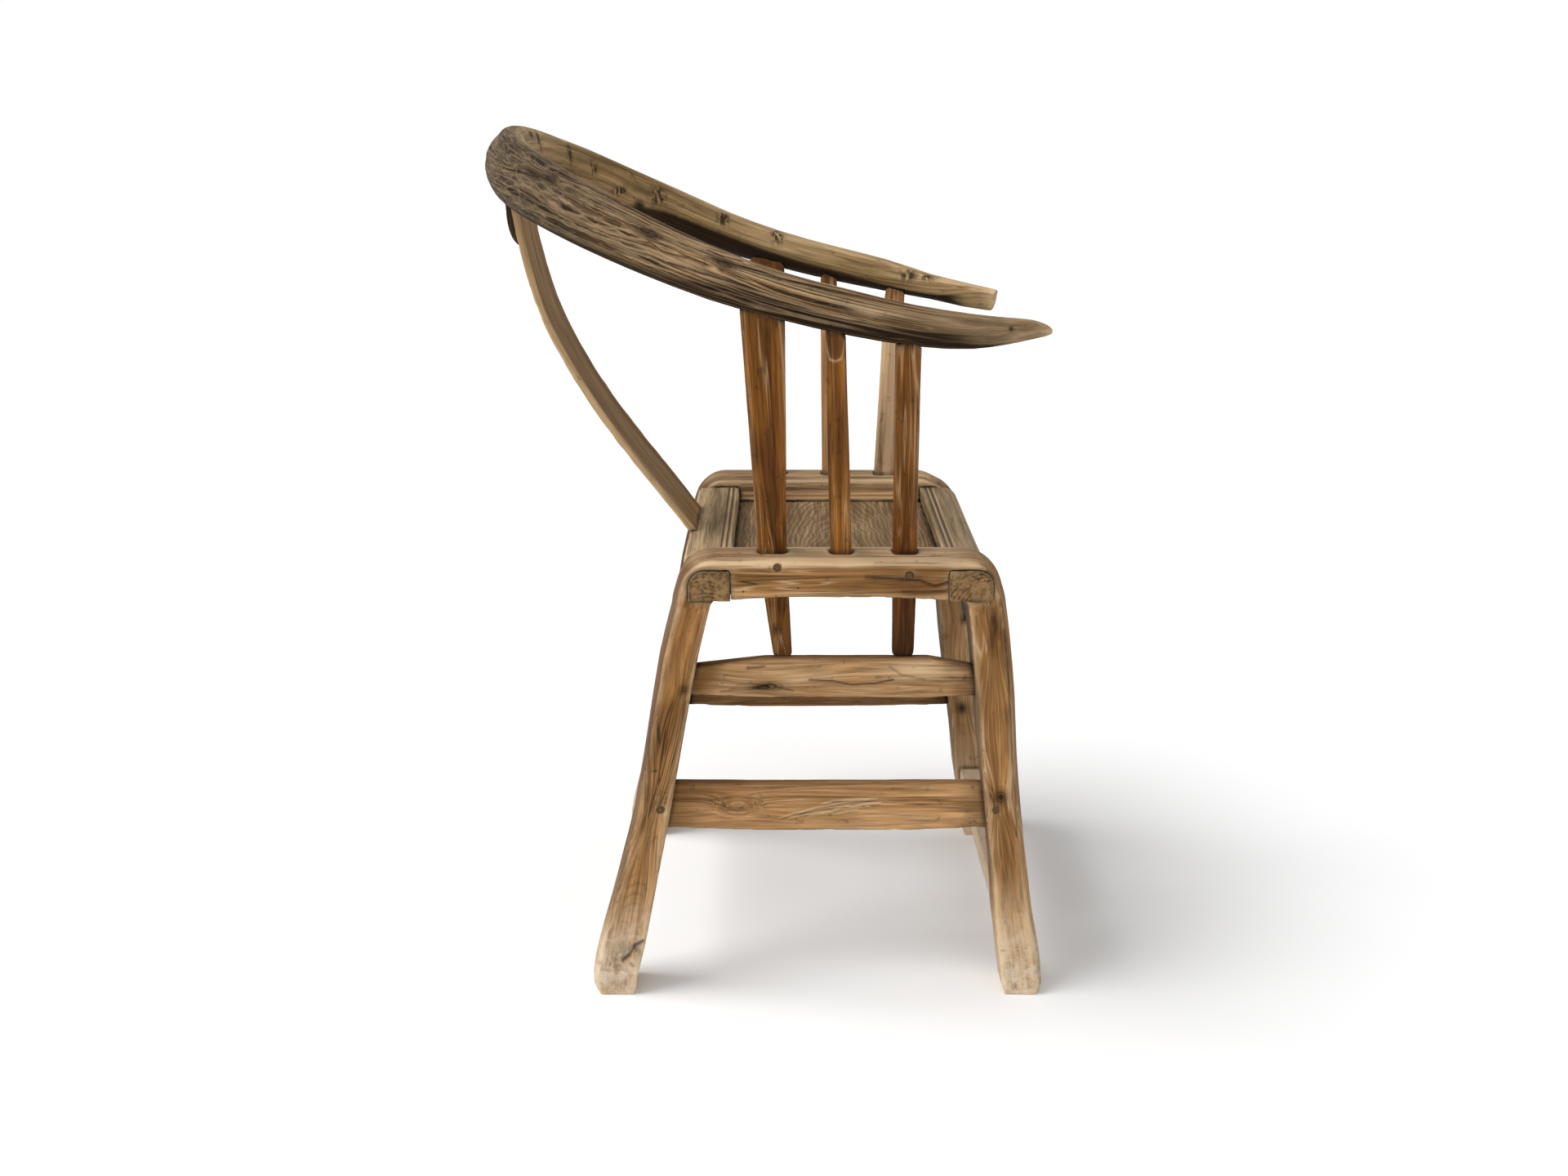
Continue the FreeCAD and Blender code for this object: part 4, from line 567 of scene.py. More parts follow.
class Number:
    """A number socket that can be used in sums."""

    def __init__(self, nodes, socket):
        self.nodes = nodes
        self.socket = socket

    def __add__(self, other):
        return self.nodes.maths("ADD", self, other)

    def __mul__(self, other):
        return self.nodes.maths("MULTIPLY", self, other)

    def __sub__(self, other):
        return self.nodes.maths("SUBTRACT", self, other)

    def __rsub__(self, other):
        return self.nodes.maths("SUBTRACT", other, self)

    __radd__, __rmul__ = __add__, __mul__

    def clamp(self):
        return self.nodes.maths("ADD", self, 0.0, use_clamp=True)


class Nodes:
    """Shader nodes of one tree; the scales of noise are in waves a metre."""

    def __init__(self, tree):
        self.tree = tree
        tree.nodes.clear()

    def node(self, kind, settings=None, stops=None, **inputs):
        """A node of a type, with its settings made first and then its sockets."""
        made = self.tree.nodes.new(kind)
        for name, value in (settings or {}).items():
            setattr(made, name, value)
        if stops:
            ramp_stops = made.color_ramp.elements
            while len(ramp_stops) < len(stops):
                ramp_stops.new(0.5)
            for element, (place, value) in zip(ramp_stops, stops):
                element.position = place
                element.color = (value, value, value, 1)
        for name, value in inputs.items():
            key = int(name[2:]) if name.startswith("in") else name.replace("_", " ")
            self.fill(made.inputs[key], value)
        return made

    def fill(self, socket, value):
        """Links a socket, or sets it to a number, a vector or a colour of three numbers."""
        if isinstance(value, Number):
            value = value.socket
        if isinstance(value, bpy.types.NodeSocket):
            self.tree.links.new(value, socket)
        elif socket.type == "RGBA":
            socket.default_value = (*value, 1.0)
        else:
            socket.default_value = value

    def maths(self, operation, *values, use_clamp=False):
        inputs = {f"in{index}": value for index, value in enumerate(values)}
        settings = {"operation": operation, "use_clamp": use_clamp}
        return Number(self, self.node("ShaderNodeMath", settings, **inputs).outputs[0])

    def most(self, one, other):
        return self.maths("MAXIMUM", one, other)

    def vector_maths(self, operation, **inputs):
        return self.node("ShaderNodeVectorMath", {"operation": operation}, **inputs).outputs[0]

    def stretched(self, vector, scale):
        return self.vector_maths("MULTIPLY", in0=vector, in1=three(scale))

    def shifted(self, vector, offset):
        return self.vector_maths("ADD", in0=vector, in1=offset)

    def brighter(self, tint, gain):
        """A colour times a number."""
        return self.vector_maths("SCALE", in0=tint, in3=gain)

    def parts(self, vector):
        """The three numbers of a vector."""
        split = self.node("ShaderNodeSeparateXYZ", in0=vector)
        return [Number(self, socket) for socket in split.outputs]

    def mask(self, name):
        found = self.node("ShaderNodeAttribute", {"attribute_name": name})
        return Number(self, found.outputs["Fac"])

    def noise(self, vector, scale, detail=3.0, roughness=0.55, distortion=0.0):
        made = self.node("ShaderNodeTexNoise", Vector=self.stretched(vector, scale), Scale=1.0,
                         Detail=detail, Roughness=roughness, Distortion=distortion)
        return Number(self, made.outputs["Fac"])

    def curve(self, value, *stops):
        made = self.node("ShaderNodeValToRGB", None, stops, in0=value)
        return Number(self, made.outputs["Color"])

    def above(self, value, low, high):
        """0 below low and 1 above high."""
        return self.curve(value, (low, 0.0), (high, 1.0))

    def below(self, value, low, high):
        """1 below low and 0 above high."""
        return self.curve(value, (low, 1.0), (high, 0.0))

    def line(self, value, level, width):
        """1 where a value crosses a level, and 0 beyond a narrow band round it."""
        gap = self.maths("ABSOLUTE", value - level)
        return (1 - gap * (1.0 / width)).clamp()

    def mix(self, factor, low, high):
        made = self.node("ShaderNodeMix", {"data_type": "RGBA"}, in0=factor, in6=low, in7=high)
        return made.outputs[2]


class Finish(Nodes):
    """Nodes of one material."""

    def __init__(self, name):
        self.material = bpy.data.materials.new(name)
        self.material.use_nodes = True
        super().__init__(self.material.node_tree)

    def close(self, colour, roughness, height, bump=0.6, shine=0.1):
        """Ends the tree with its shader, and gives the material."""
        relief = self.node("ShaderNodeBump", Strength=bump, Distance=RELIEF, Height=height)
        shader = self.node("ShaderNodeBsdfPrincipled", Base_Color=colour, Roughness=roughness,
                           Specular_IOR_Level=shine, Normal=relief.outputs[0])
        self.node("ShaderNodeOutputMaterial", Surface=shader.outputs[0])
        return self.material


def pale_and_dark(finish, grain, base, cloud, pale_share, checks):
    """Raised pale fibres and dark drying cracks along the grain; gives colour and relief."""
    field = finish.noise(grain, (2.0, 70.0), 2.0, 0.45, 0.08)
    rise = finish.most(finish.line(field, 0.53, 0.022), finish.line(field, 0.60, 0.016) * 0.8)
    rise = rise * finish.curve(cloud, (0.42, 0.1), (0.56, 1.0)) * pale_share
    split = finish.most(finish.line(field, 0.455, 0.018), finish.line(field, 0.38, 0.02))
    split = split * finish.above(finish.noise(grain, (7.0, 22.0), 1.0), 0.46, 0.58) * checks
    base = finish.mix(rise.clamp(), base, tones().worn)
    base = finish.mix((split * 0.85).clamp(), base, tones().grime)
    return base, rise * 0.6 - split * 1.3


def arm_net(finish, raw, grain, base, streak, grey):
    """Raised growth rings with dark hollows between them, on the weathered side of the arm rail;
    gives colour, share of the rings and relief."""
    colour = tones()
    along = finish.maths("ABSOLUTE", finish.parts(raw)[0])
    back = finish.below(along, 0.24, 0.48)
    front = finish.above(along, 0.58, 0.68)
    middle = (1 - back - front).clamp()
    body = finish.mix(back, colour.arm_outer, colour.arm_back)
    body = finish.mix(front, body, colour.arm_tip)
    base = finish.mix((grey * 0.92).clamp(), base, finish.brighter(body, streak * 2.6 - 0.3))

    def field(offset, *settings):
        return finish.noise(finish.shifted(grain, offset), *settings)
    own = finish.noise(grain, (2.4, 120.0), 1.5, 0.4, 0.1)
    other = field((0.31, 0.2, 0.4), (3.4, 165.0), 1.5, 0.45, 0.1)
    rings = finish.most(finish.line(own, 0.50, 0.055), finish.line(own, 0.61, 0.045) * 0.9)
    rings = finish.most(rings, finish.line(other, 0.5, 0.035) * 0.7)
    long_net = field((0.7, 0.6, 0.1), (24.0, 165.0), 1.5, 0.5, 0.3)
    short_net = field((0.2, 0.9, 0.6), (38.0, 115.0), 1.0, 0.5, 0.3)
    net = finish.most(finish.line(long_net, 0.5, 0.045), finish.line(short_net, 0.5, 0.03) * 0.8)
    light = rings * (middle * 0.95 + back * 0.2 + front * 0.3) + net * (back * 0.22 + middle * 0.1)
    light = light * finish.curve(streak, (0.30, 0.5), (0.46, 1.0)) * grey
    valley = finish.below(finish.noise(grain, (2.8, 115.0), 2.5, 0.5, 0.15), 0.50, 0.57)
    pit = finish.above(field((0.15, 0.5, 0.3), (22.0, 125.0), 2.0, 0.55, 0.3), 0.53, 0.58)
    dark = finish.most(valley * (middle * 0.95 + back * 0.4 + front * 0.25),
                       pit * (back * 0.85 + middle * 0.7 + front * 0.3)) * grey
    base = finish.mix(dark.clamp(), base, colour.grime)
    base = finish.mix(light.clamp(), base, colour.ridge)
    return base, light, light * 1.6 - dark * 1.4


def sawn_ends(finish, place, ring, cloud, base, height):
    """End grain on faces that were cut across."""
    cut = finish.mask("cut")
    pore = finish.above(finish.noise(place, 210.0, 3.0, 0.7), 0.45, 0.60)
    arc = finish.above(ring, 0.4, 0.9)
    arc = arc * finish.curve(finish.noise(place, 45.0, 2.0), (0.42, 0.0), (0.60, 0.9))
    shown = finish.mix((arc * 0.5 + pore * 0.6).clamp(), tones().end_light, tones().end_dark)
    shown = finish.brighter(shown, cloud * 1.2 + 0.4)
    return finish.mix(cut, base, shown), height - cut * (arc + pore) * 0.7


def wear(finish, place, streak, fibre, cloud, base, height):
    """Pale wear, whitish scuffs, small dents, worm holes and scars."""
    colour = tones()
    worn, scuffed = finish.mask("worn"), finish.mask("scuff")
    patch = finish.curve(streak * 0.5 + fibre * 0.25 + cloud * 0.25, (0.38, 0.2), (0.57, 1.0))
    bare = finish.curve(worn, (0.7, 0.0), (1.0, 0.85)) * (streak * 0.6 + 0.7)
    base = finish.mix(finish.most(worn * patch, bare).clamp(), base, colour.worn)
    scuff = finish.above(finish.noise(place, (42.0, 42.0, 60.0), 4.0, 0.7), 0.42, 0.60)
    fine = finish.above(finish.noise(place, (210.0, 210.0, 160.0), 3.0, 0.7), 0.40, 0.6)
    rubbed = scuffed * (scuff * 0.5 + fine * 0.35 + 0.1)
    base = finish.mix(rubbed.clamp(), base, colour.scuffed)
    dent = finish.above(finish.noise(place, 95.0, 3.0, 0.6), 0.63, 0.70)
    spots = finish.node("ShaderNodeTexVoronoi", Vector=finish.stretched(place, 38.0), Scale=1.0)
    hole = finish.below(Number(finish, spots.outputs["Distance"]), 0.03, 0.05)
    hole = hole * finish.above(finish.noise(place, 9.0, 1.0), 0.57, 0.61)
    scar = finish.above(finish.noise(place, (190.0, 190.0, 75.0), 3.0, 0.65), 0.45, 0.52)
    scar = scar * finish.mask("scar")
    base = finish.mix((dent * 0.3 + hole * 0.8 + scar * 0.9).clamp(), base, colour.grime)
    return base, height - dent * 0.9 - hole * 2.0 - scar * 1.5 - scuff * scuffed * 0.8


def bead(finish, place, grooves, base, height):
    """Dark grooves with a light arris each, on top of a seat rail."""
    x, y, z = finish.parts(place)
    top = finish.above(z, *RAIL_TOP) * finish.below(finish.maths("ABSOLUTE", y), *PANEL_SIDE)
    for groove in grooves:
        mark = finish.line(x, groove, GROOVE_WIDTH) * top
        arris = finish.line(x, groove + ARRIS_OFFSET, ARRIS_WIDTH) * top
        base = finish.mix(mark * 0.95, base, tones().grime)
        base = finish.mix(arris * 0.5, base, tones().worn)
        height = height - mark * 3.5
    return base, height


def wood(name, kind, centre=(0.0, 0.03), rings=60.0, ring_share=0.3, seed=0.0, gain=1.0,
         checks=0.8, pale_share=0.5, net=False, edge_lines=(), grooves=(), end_grain=False,
         roughness=0.66, bump=0.7, contrast=1.0, tilt=0.0, wave=(5.0, 22.0, 10.0), shine=0.1):
    """Old wood of one kind of piece. Ring numbers are a metre; the centre of the rings is given
    across the grain; gain is for both tones, and may be one number or one for each channel."""
    finish = Finish(name)
    colour = tones()
    light, dark = ([share * value for share, value in zip(three(gain), getattr(colour, tint))]
                   for tint in (f"{kind}_light", f"{kind}_dark"))
    raw = finish.node("ShaderNodeAttribute", {"attribute_name": "grain"}).outputs["Vector"]
    place = finish.node("ShaderNodeTexCoord").outputs["Object"]
    grain = finish.shifted(raw, (seed, seed * 0.37, seed * 0.71))
    cloud = finish.noise(grain, (7.0, 16.0), 2.0, 0.5)
    band = finish.noise(grain, (1.8, 38.0), 3.0, 0.55, 0.1)
    streak = finish.noise(grain, (3.6, 115.0), 4.0, 0.62, 0.15)
    fibre = finish.noise(grain, (16.0, 330.0), 2.0, 0.6)
    spread = 0.105 / contrast
    tint = finish.above(band * 0.33 + streak * 0.42 + cloud * 0.25, 0.5 - spread, 0.5 + spread)
    base = finish.mix(tint, dark, light)
    # growth rings round the heart of the trunk
    run, across, upright = finish.parts(finish.shifted(raw, (0.0, *centre)))
    upright = upright + run * tilt
    distance = finish.maths("SQRT", across * across + upright * upright)
    warp = finish.noise(grain, wave[:2], 2.0, 0.5)
    ring = finish.maths("SINE", distance * (rings * math.tau) + warp * wave[2]) * 0.5 + 0.5
    ring_line = finish.above(ring, 0.45, 0.92)
    base = finish.mix(ring_line * ring_share, base, finish.brighter(dark, 0.7))
    base = finish.brighter(base, fibre * 2.0)
    base, relief = pale_and_dark(finish, grain, base, cloud, pale_share, checks)
    height = fibre * 0.5 + streak * 0.6 + ring_line * (0.8 * ring_share) + relief
    if end_grain:
        base, height = sawn_ends(finish, place, ring, cloud, base, height)
    grey, dirt_and_shade = finish.mask("grey"), finish.mask("grime")
    if net:
        base, ridges, relief = arm_net(finish, raw, grain, base, streak, grey)
        height = height + relief
        dirt_and_shade = dirt_and_shade * (1 - ridges * 0.4)
    else:
        patchy = finish.curve(streak * 0.5 + cloud * 0.5, (0.38, 0.4), (0.6, 1.0))
        base = finish.mix((grey * patchy * 0.85).clamp(), base,
                          finish.brighter(colour.weathered, streak * 2.0 + 0.3))
    base = finish.mix((finish.mask("ochre") * 0.8).clamp(), base,
                      finish.brighter(colour.ochre, streak * 1.6 + 0.25))
    base, height = wear(finish, place, streak, fibre, cloud, base, height)
    for spot, width in edge_lines:
        mark = finish.line(finish.maths("ABSOLUTE", across), spot, width)
        base = finish.mix(mark * 0.75, base, colour.bead)
        height = height - mark * 2.5
    if grooves:
        base, height = bead(finish, place, grooves, base, height)
    knot = finish.mask("knot")
    eye = finish.maths("SINE", knot * 26.0 + warp * 5.0) * 0.5 + 0.5
    knot = finish.above(knot, 0.05, 0.8) * (eye * 0.35 + 0.65)
    base = finish.mix(knot.clamp(), base, colour.grime)
    # dirt in cracks and hollows, and painted shade under the pieces, inside them and at the joints
    base = finish.mix((dirt_and_shade * (streak * 0.5 + 0.78)).clamp(), base, colour.grime)
    rough = roughness + fibre * 0.2 + grey * 0.1 + dirt_and_shade * 0.1 - 0.1
    return finish.close(base, rough, height, bump, shine)


# Marks of age on each kind of piece

def streaks(surface, across, seed):
    """Noise from 0 to 1, drawn out along the grain."""
    return waves(surface.grain, (5, across), seed) * 0.5 + 0.5


def mark_frame(side):
    def mark(surface):
        x, z = surface.points[:, 0], surface.points[:, 2]
        up = surface.normals[:, 2]
        out = surface.normals[:, 1] * side
        streak = streaks(surface, 60, 31)
        patch = waves(surface.points, 22, 32) * 0.5 + 0.5
        foot = ramp(-(z + patch * 0.05), -0.19, -0.07)
        surface.add("worn", foot * (0.45 + 0.5 * patch))
        surface.add("scuff", ramp(-(z + patch * 0.06), -0.155, -0.035) * (0.75 + 0.4 * patch))
        # the top, and its bare shoulder between the posts
        top = ramp(z, 0.487, 0.499) * ramp(up, 0.0, 0.6)
        between = ramp(x, -0.03, 0.03) * ramp(-x, -0.24, -0.19)
        surface.add("worn", top * (0.15 + 0.35 * streak + 0.45 * between))
        surface.add("grey", top * (0.6 - 0.45 * between))
        sole = ramp(-z, -0.010, 0.0) ** 2
        surface.push -= 0.004 * sole * (1 - np.abs(up))
        shoulder = ramp(z, 0.494, 0.499) * ramp(out, 0.12, 0.4) * ramp(up, 0.1, 0.5)
        surface.add("worn", shoulder * (0.2 + between) * 1.2)
        strip = ramp(z + 0.004 * patch, 0.4945, 0.4995) * ramp(out, 0.15, 0.7)
        surface.add("worn", strip * ramp(-up, -0.75, -0.45) * (0.95 + 0.25 * streak))
        surface.add("worn", surface.edges * (0.3 + 0.6 * streak))
        # painted shade on the undersides of the seat part of the frame
        surface.add("grime", ramp(-up, 0.5, 0.9) * ramp(z, 0.40, 0.44) * 0.6)
        back = ramp(-surface.normals[:, 0], 0.5, 0.9) * (1 - foot)
        surface.add("grey", back * 0.6)
        surface.add("grime", back * 0.2)
        inside = ramp(-out, 0.4, 0.9)
        low_inside = inside * ramp(-z, -0.45, -0.40)
        if side == RIGHT:
            # painted shade on the inner face below the seat
            surface.add("grime", low_inside * 0.2 * (1 - foot))
            mark_right_frame(surface)
        else:
            surface.add("worn", low_inside * 0.2)
            surface.add("worn", ramp(-out, 0.3, 0.8) * ramp(z, 0.455, 0.46) * 0.3)
            surface.knot((0.2632, 0.1848, 0.1845), 0.007, 1.3)
            surface.knot((0.262, 0.185, 0.31), 0.006, 1.3, 0.8)
            surface.add("ochre", inside * ramp(z, 0.30, 0.33) * ramp(-z, -0.455, -0.43) * 0.8)
            surface.add("worn", inside * ramp(z, 0.462, 0.468) * (0.3 + 0.3 * streak))
    return mark


def mark_right_frame(surface):
    for row in FRAME_KNOTS:
        surface.knot(*row)
    for row in FRAME_CRACKS:
        surface.crack(*row)
    for row in FRAME_SCARS:
        surface.scar(*row)
    # short nicks up the edge of the back leg, which leans back below
    for number in range(9):
        rise = 0.105 + 0.012 * number
        reach = -0.147 + 0.0245 * (rise - 0.1) / 0.114
        surface.crack([(reach - 0.012, -0.273, rise), (reach - 0.002, -0.273, rise + 0.006),
                       (reach + 0.006, -0.273, rise + 0.004)], 0.0012, 0.0009, 0.28)


def mark_arm(surface):
    up = surface.normals[:, 2]
    along, outward = arm_run(surface.points)
    middle, half = arm_level(along)
    share = (surface.points[:, 2] - middle) / half
    near = surface.points[:, 1] < 0
    outer = np.where(near, ramp(outward, -0.017, -0.004), ramp(outward, -0.008, 0.008))
    wavy = waves(surface.grain, (9, 40), 52) * 0.22
    surface.add("grey", outer)
    # dark lower edge outside, dark lower half inside, painted shade underneath
    deep = 0.62 * ramp(along, 0.34, 0.48)
    low = ramp(-(share + wavy), 0.5 - deep, 0.92 - deep) * outer * ramp(along, 0.20, 0.34)
    surface.add("grime", low * (1 - ramp(along, 0.66, 0.75)))
    inside = ramp(-outward, -0.002, 0.008) * (1 - ramp(along, 0.72, 0.76))
    floor = -0.02 + 0.75 * ramp(along, 0.55, 0.74) + 0.75 * ramp(-along, -0.36, -0.22)
    surface.add("grime", ramp(-(share + wavy * 0.7), floor, floor + 0.3) * inside * 0.97)
    surface.add("grime", ramp(-up, 0.55, 0.9) * 0.85 * (1 - 0.8 * ramp(along, 0.70, 0.76)))
    # pale wear on the upper arris and at the tips
    arris = np.where(near, ramp(-outward, 0.0, 0.012) * ramp(up, 0.2, 0.7) * 0.55,
                     ramp(up, 0.4, 0.8) * 0.4)
    surface.add("worn", arris * ramp(along, 0.25, 0.4))
    surface.add("worn", ramp(along, 0.62, 0.70) * 0.1 + ramp(along, 0.765, 0.785) * 0.6
                + surface.edges * 0.2 * ramp(along, 0.2, 0.4))
    ridge = np.abs(waves(surface.grain, (3, 120), 51))
    surface.push += outer * 0.0006 * (0.35 - ridge)
    for row in ARM_SCARS:
        surface.scar(*row)
    surface.knot((-0.1645, 0.2426, 0.8494), 0.0065, 1.2)
    surface.crack([(-0.176, 0.236, 0.897), (-0.170, 0.24, 0.882), (-0.1645, 0.2426, 0.87)],
                  0.0013, 0.001, 0.6)
    for place, radius in ARM_KNOTS:
        surface.knot(place, radius, 2.6, 0.85)
    surface.add("worn", 0.6 * surface.near(ARM_PALE, 0.005, 3.5)[0])
    surface.knot(ARM_HOLE, 0.0027, 1.0)
    surface.push -= 0.0015 * surface.near(ARM_HOLE, 0.003, 1.0)[0]


def mark_splat(surface):
    surface.add("worn", surface.edges * 0.5)
    surface.add("worn", ramp(np.abs(surface.points[:, 1]), 0.058, 0.062) * 0.3)
    surface.add("grime", ramp(surface.points[:, 2], 0.85, 0.89) * 0.35)


def mark_post(place, side):
    def mark(surface):
        z = surface.points[:, 2]
        streak = streaks(surface, 90, 35)
        surface.add("worn", surface.edges * (0.25 + 0.35 * streak))
        # painted shade on the post below the seat, and darker just under the arm rail
        surface.add("grime", ramp(-z, -0.46, -0.40) * 0.3)
        surface.add("grime", ramp(z, 0.71, 0.765) * 0.3)
        if side == LEFT:
            pale = 1.0 if place == "front" else 0.45
            surface.add("worn", ramp(-z, -0.74, -0.68) * pale * (0.6 + 0.5 * streak))
        elif place == "rear":
            surface.knot((0.013, -0.2241, 0.4156), 0.005, 1.5, 0.7)
        elif place == "middle":
            surface.pale_line(POST_RIM, 0.0012, 0.0008, 1.0, 0.8)
            patch = ramp(z, 0.722, 0.726) * ramp(-surface.normals[:, 1], 0.3, 0.7)
            surface.add("grime", patch * 0.3)
    return mark


def mark_stretcher(place, side):
    """Unhandled ochre wood at the back end, dirt near the front end, and painted shade on the
    inner faces and underneath.
    """
    def mark(surface):
        x = surface.points[:, 0]
        inset, reach, amount = 0.022, 0.036, 0.95 if place == "upper" else 0.35
        uneven = waves(surface.points, 60, 33) * 0.012
        back = ramp(-(x + uneven - (x.min() + inset)), -reach, -0.2 * reach)
        front = ramp(x + uneven - (x.max() - inset), -reach, -0.2 * reach)
        surface.add("ochre", back * amount)
        surface.add("grime", back * 0.2 * amount + front * 0.3)
        surface.add("worn", surface.edges * (0.3 + 0.5 * streaks(surface, 60, 37)))
        # painted shade on the inner faces and the undersides
        surface.add("grime", ramp(-surface.normals[:, 1] * side, 0.5, 0.9) * 0.4)
        surface.add("grime", ramp(-surface.normals[:, 2], 0.5, 0.9) * 0.4)
        if side == RIGHT:
            {"upper": mark_upper, "lower": mark_lower}[place](surface)
    return mark


def mark_upper(surface):
    surface.knot((0.0056, UPPER_FACE, 0.3527), 0.0075, 2.6, 0.75)
    surface.knot((-0.006, UPPER_FACE, 0.350), 0.005, 2.2, 0.5)
    for places, width, depth, dark in UPPER_CRACKS:
        surface.crack([(x, UPPER_FACE, z) for x, z in places], width, depth, dark)
    for x, z, radius, stretch, amount in ((0.17, 0.372, 0.011, 3.2, 0.9),
                                          (0.04, 0.367, 0.010, 3.0, 0.4)):
        surface.add("worn", surface.near((x, UPPER_FACE, z), radius, stretch)[0] * amount)


def mark_lower(surface):
    for start, middle, end, dark in LOWER_CRACKS:
        bend = (0.5 * (start[0] + middle[0]), 0.5 * (start[1] + middle[1]) + 0.0014)
        other = (0.5 * (middle[0] + end[0]), 0.5 * (middle[1] + end[1]) + 0.0008)
        line = [(x, LOWER_FACE, z) for x, z in (start, bend, middle, other, end)]
        surface.crack(line, 0.0009, 0.0008, dark)
        surface.pale_line([(x, y, z + 0.0022) for x, y, z in line], 0.0010, -0.0003, 0.9, 1.0)
    swirl = surface.near((-0.03, LOWER_FACE, 0.2135), 0.009, 1.9)[0]
    surface.grain[:, 1:] += (swirl * 0.02)[:, None]
    surface.knot((-0.028, LOWER_FACE, 0.2135), 0.005, 2.2, 0.12)


def mark_plain(surface):
    surface.add("worn", surface.edges * 0.4)


def mark_footrest(surface):
    surface.add("worn", 1.0)
    surface.add("scuff", 1.0)


def mark_seat_rail(surface):
    y, z = surface.points[:, 1], surface.points[:, 2]
    top = ramp(surface.normals[:, 2], 0.3, 0.8)
    surface.masks["cut"] = ramp(np.abs(surface.normals[:, 1]), 0.6, 0.9)
    surface.add("grey", top * 0.3)
    streak = streaks(surface, 60, 39)
    surface.add("worn", surface.edges * (0.2 + 0.3 * streak) * (1 - surface.masks["cut"]))
    surface.add("worn", top * ramp(-y, 0.06, 0.16) * 0.3 * streak)
    surface.add("grime", ramp(-z, -0.470, -0.462) * 0.4 * (np.abs(y) < 0.18))


def mark_panel(surface):
    x, y = surface.points[:, 0], surface.points[:, 1]
    edge = ramp(np.abs(x - PANEL_MIDDLE), 0.113, 0.119) + ramp(np.abs(y), 0.168, 0.174)
    surface.add("grime", edge * 0.5)


def mark_dark(surface):
    surface.add("worn", surface.edges * 0.12)


# Operators

class ARMCHAIR_OT_side_frames(bpy.types.Operator):
    """Dresses the two bent side frames"""

    bl_idname = "armchair.side_frames"
    bl_label = "Side frames"

    def execute(self, context):
        for name, side in SIDES.items():
            finish = wood(f"frame_{name}", "frame", (0.012, -0.19 * side), 55.0, 0.3,
                          1.7 * side + 3, gain=1.0 if side == RIGHT else 0.88, checks=1.0,
                          pale_share=0.55, contrast=0.85)
            dress(f"{name}_side_frame", frame_grain, finish, mark_frame(side),
                  5, 11 + side, sizes().large_mesh)
        return {"FINISHED"}


class ARMCHAIR_OT_seat(bpy.types.Operator):
    """Dresses the seat rails, the panel and its brace"""

    bl_idname = "armchair.seat"
    bl_label = "Seat"

    def execute(self, context):
        hearts = {"front_seat_rail": (-0.245, -0.44), "back_seat_rail": (0.062, -0.435)}
        for number, (node, heart) in enumerate(hearts.items()):
            rail = wood(node, "seat", heart, 240.0, 0.3, 4.1 + number, gain=1.0 + 0.55 * number,
                        grooves=GROOVES[node], end_grain=True, pale_share=0.35)
            dress(node, straight("Y"), rail, mark_seat_rail, 1, 21 + number)
        panel = wood("seat_panel", "panel", (-0.085, -0.446), 190.0, 0.55, 5.3, pale_share=0.3,
                     checks=0.4, tilt=0.16, wave=(26.0, 30.0, 14.0))
        dress("seat_panel", straight("Y"), panel, mark_panel, 1, 23,
              sizes().large_mesh)
        brace = wood("seat_brace", "frame", seed=6.1)
        dress("seat_batten", straight("X"), brace, mark_plain, 2, 25)
        return {"FINISHED"}


class ARMCHAIR_OT_arm_rail(bpy.types.Operator):
    """Dresses the horseshoe arm rail"""

    bl_idname = "armchair.arm_rail"
    bl_label = "Arm rail"

    def execute(self, context):
        finish = wood("arm_rail", "arm", (0.03, 0.02), 70.0, 0.25, 7.7, net=True, checks=0.5,
                      pale_share=0.3, bump=0.9)
        dress("crest_arm_rail", arm_grain, finish, mark_arm, 7, 41,
              sizes().large_mesh)
        return {"FINISHED"}


class ARMCHAIR_OT_back(bpy.types.Operator):
    """Dresses the splat and the cleat behind it"""

    bl_idname = "armchair.back"
    bl_label = "Back"

    def execute(self, context):
        splat = wood("splat", "splat", (0.0, 0.012), 130.0, 0.45, 9.2, tilt=0.05,
                     edge_lines=SPLAT_BEAD, checks=0.3, pale_share=0.3)
        dress("back_splat", splat_grain, splat, mark_splat, 1, 61)
        # the cleat gets near-black tones as painted shade
        dark = wood("dark_back", "hidden", seed=9.9)
        dress("splat_cleat", straight("Z"), dark, mark_dark, 2, 63)
        return {"FINISHED"}


class ARMCHAIR_OT_posts(bpy.types.Operator):
    """Dresses the six posts under the arm rail"""

    bl_idname = "armchair.posts"
    bl_label = "Posts"

    def execute(self, context):
        hearts = {"rear": 0.012, "middle": -0.008, "front": 0.01}
        posts = [(name, side, place) for name, side in SIDES.items() for place in hearts]
        for number, (name, side, place) in enumerate(posts):
            post = f"{name}_{place}_post"
            finish = wood(post, "post", (hearts[place], 0.03 * side), 75.0, 0.3, 11.0 + number,
                          gain=(0.87, 0.83, 0.75) if place == "front" else 1.0, pale_share=0.4,
                          roughness=0.6, contrast=1.05, shine=0.12)
            dress(post, leaning(post), finish, mark_post(place, side), 2,
                  71 + number)
        return {"FINISHED"}


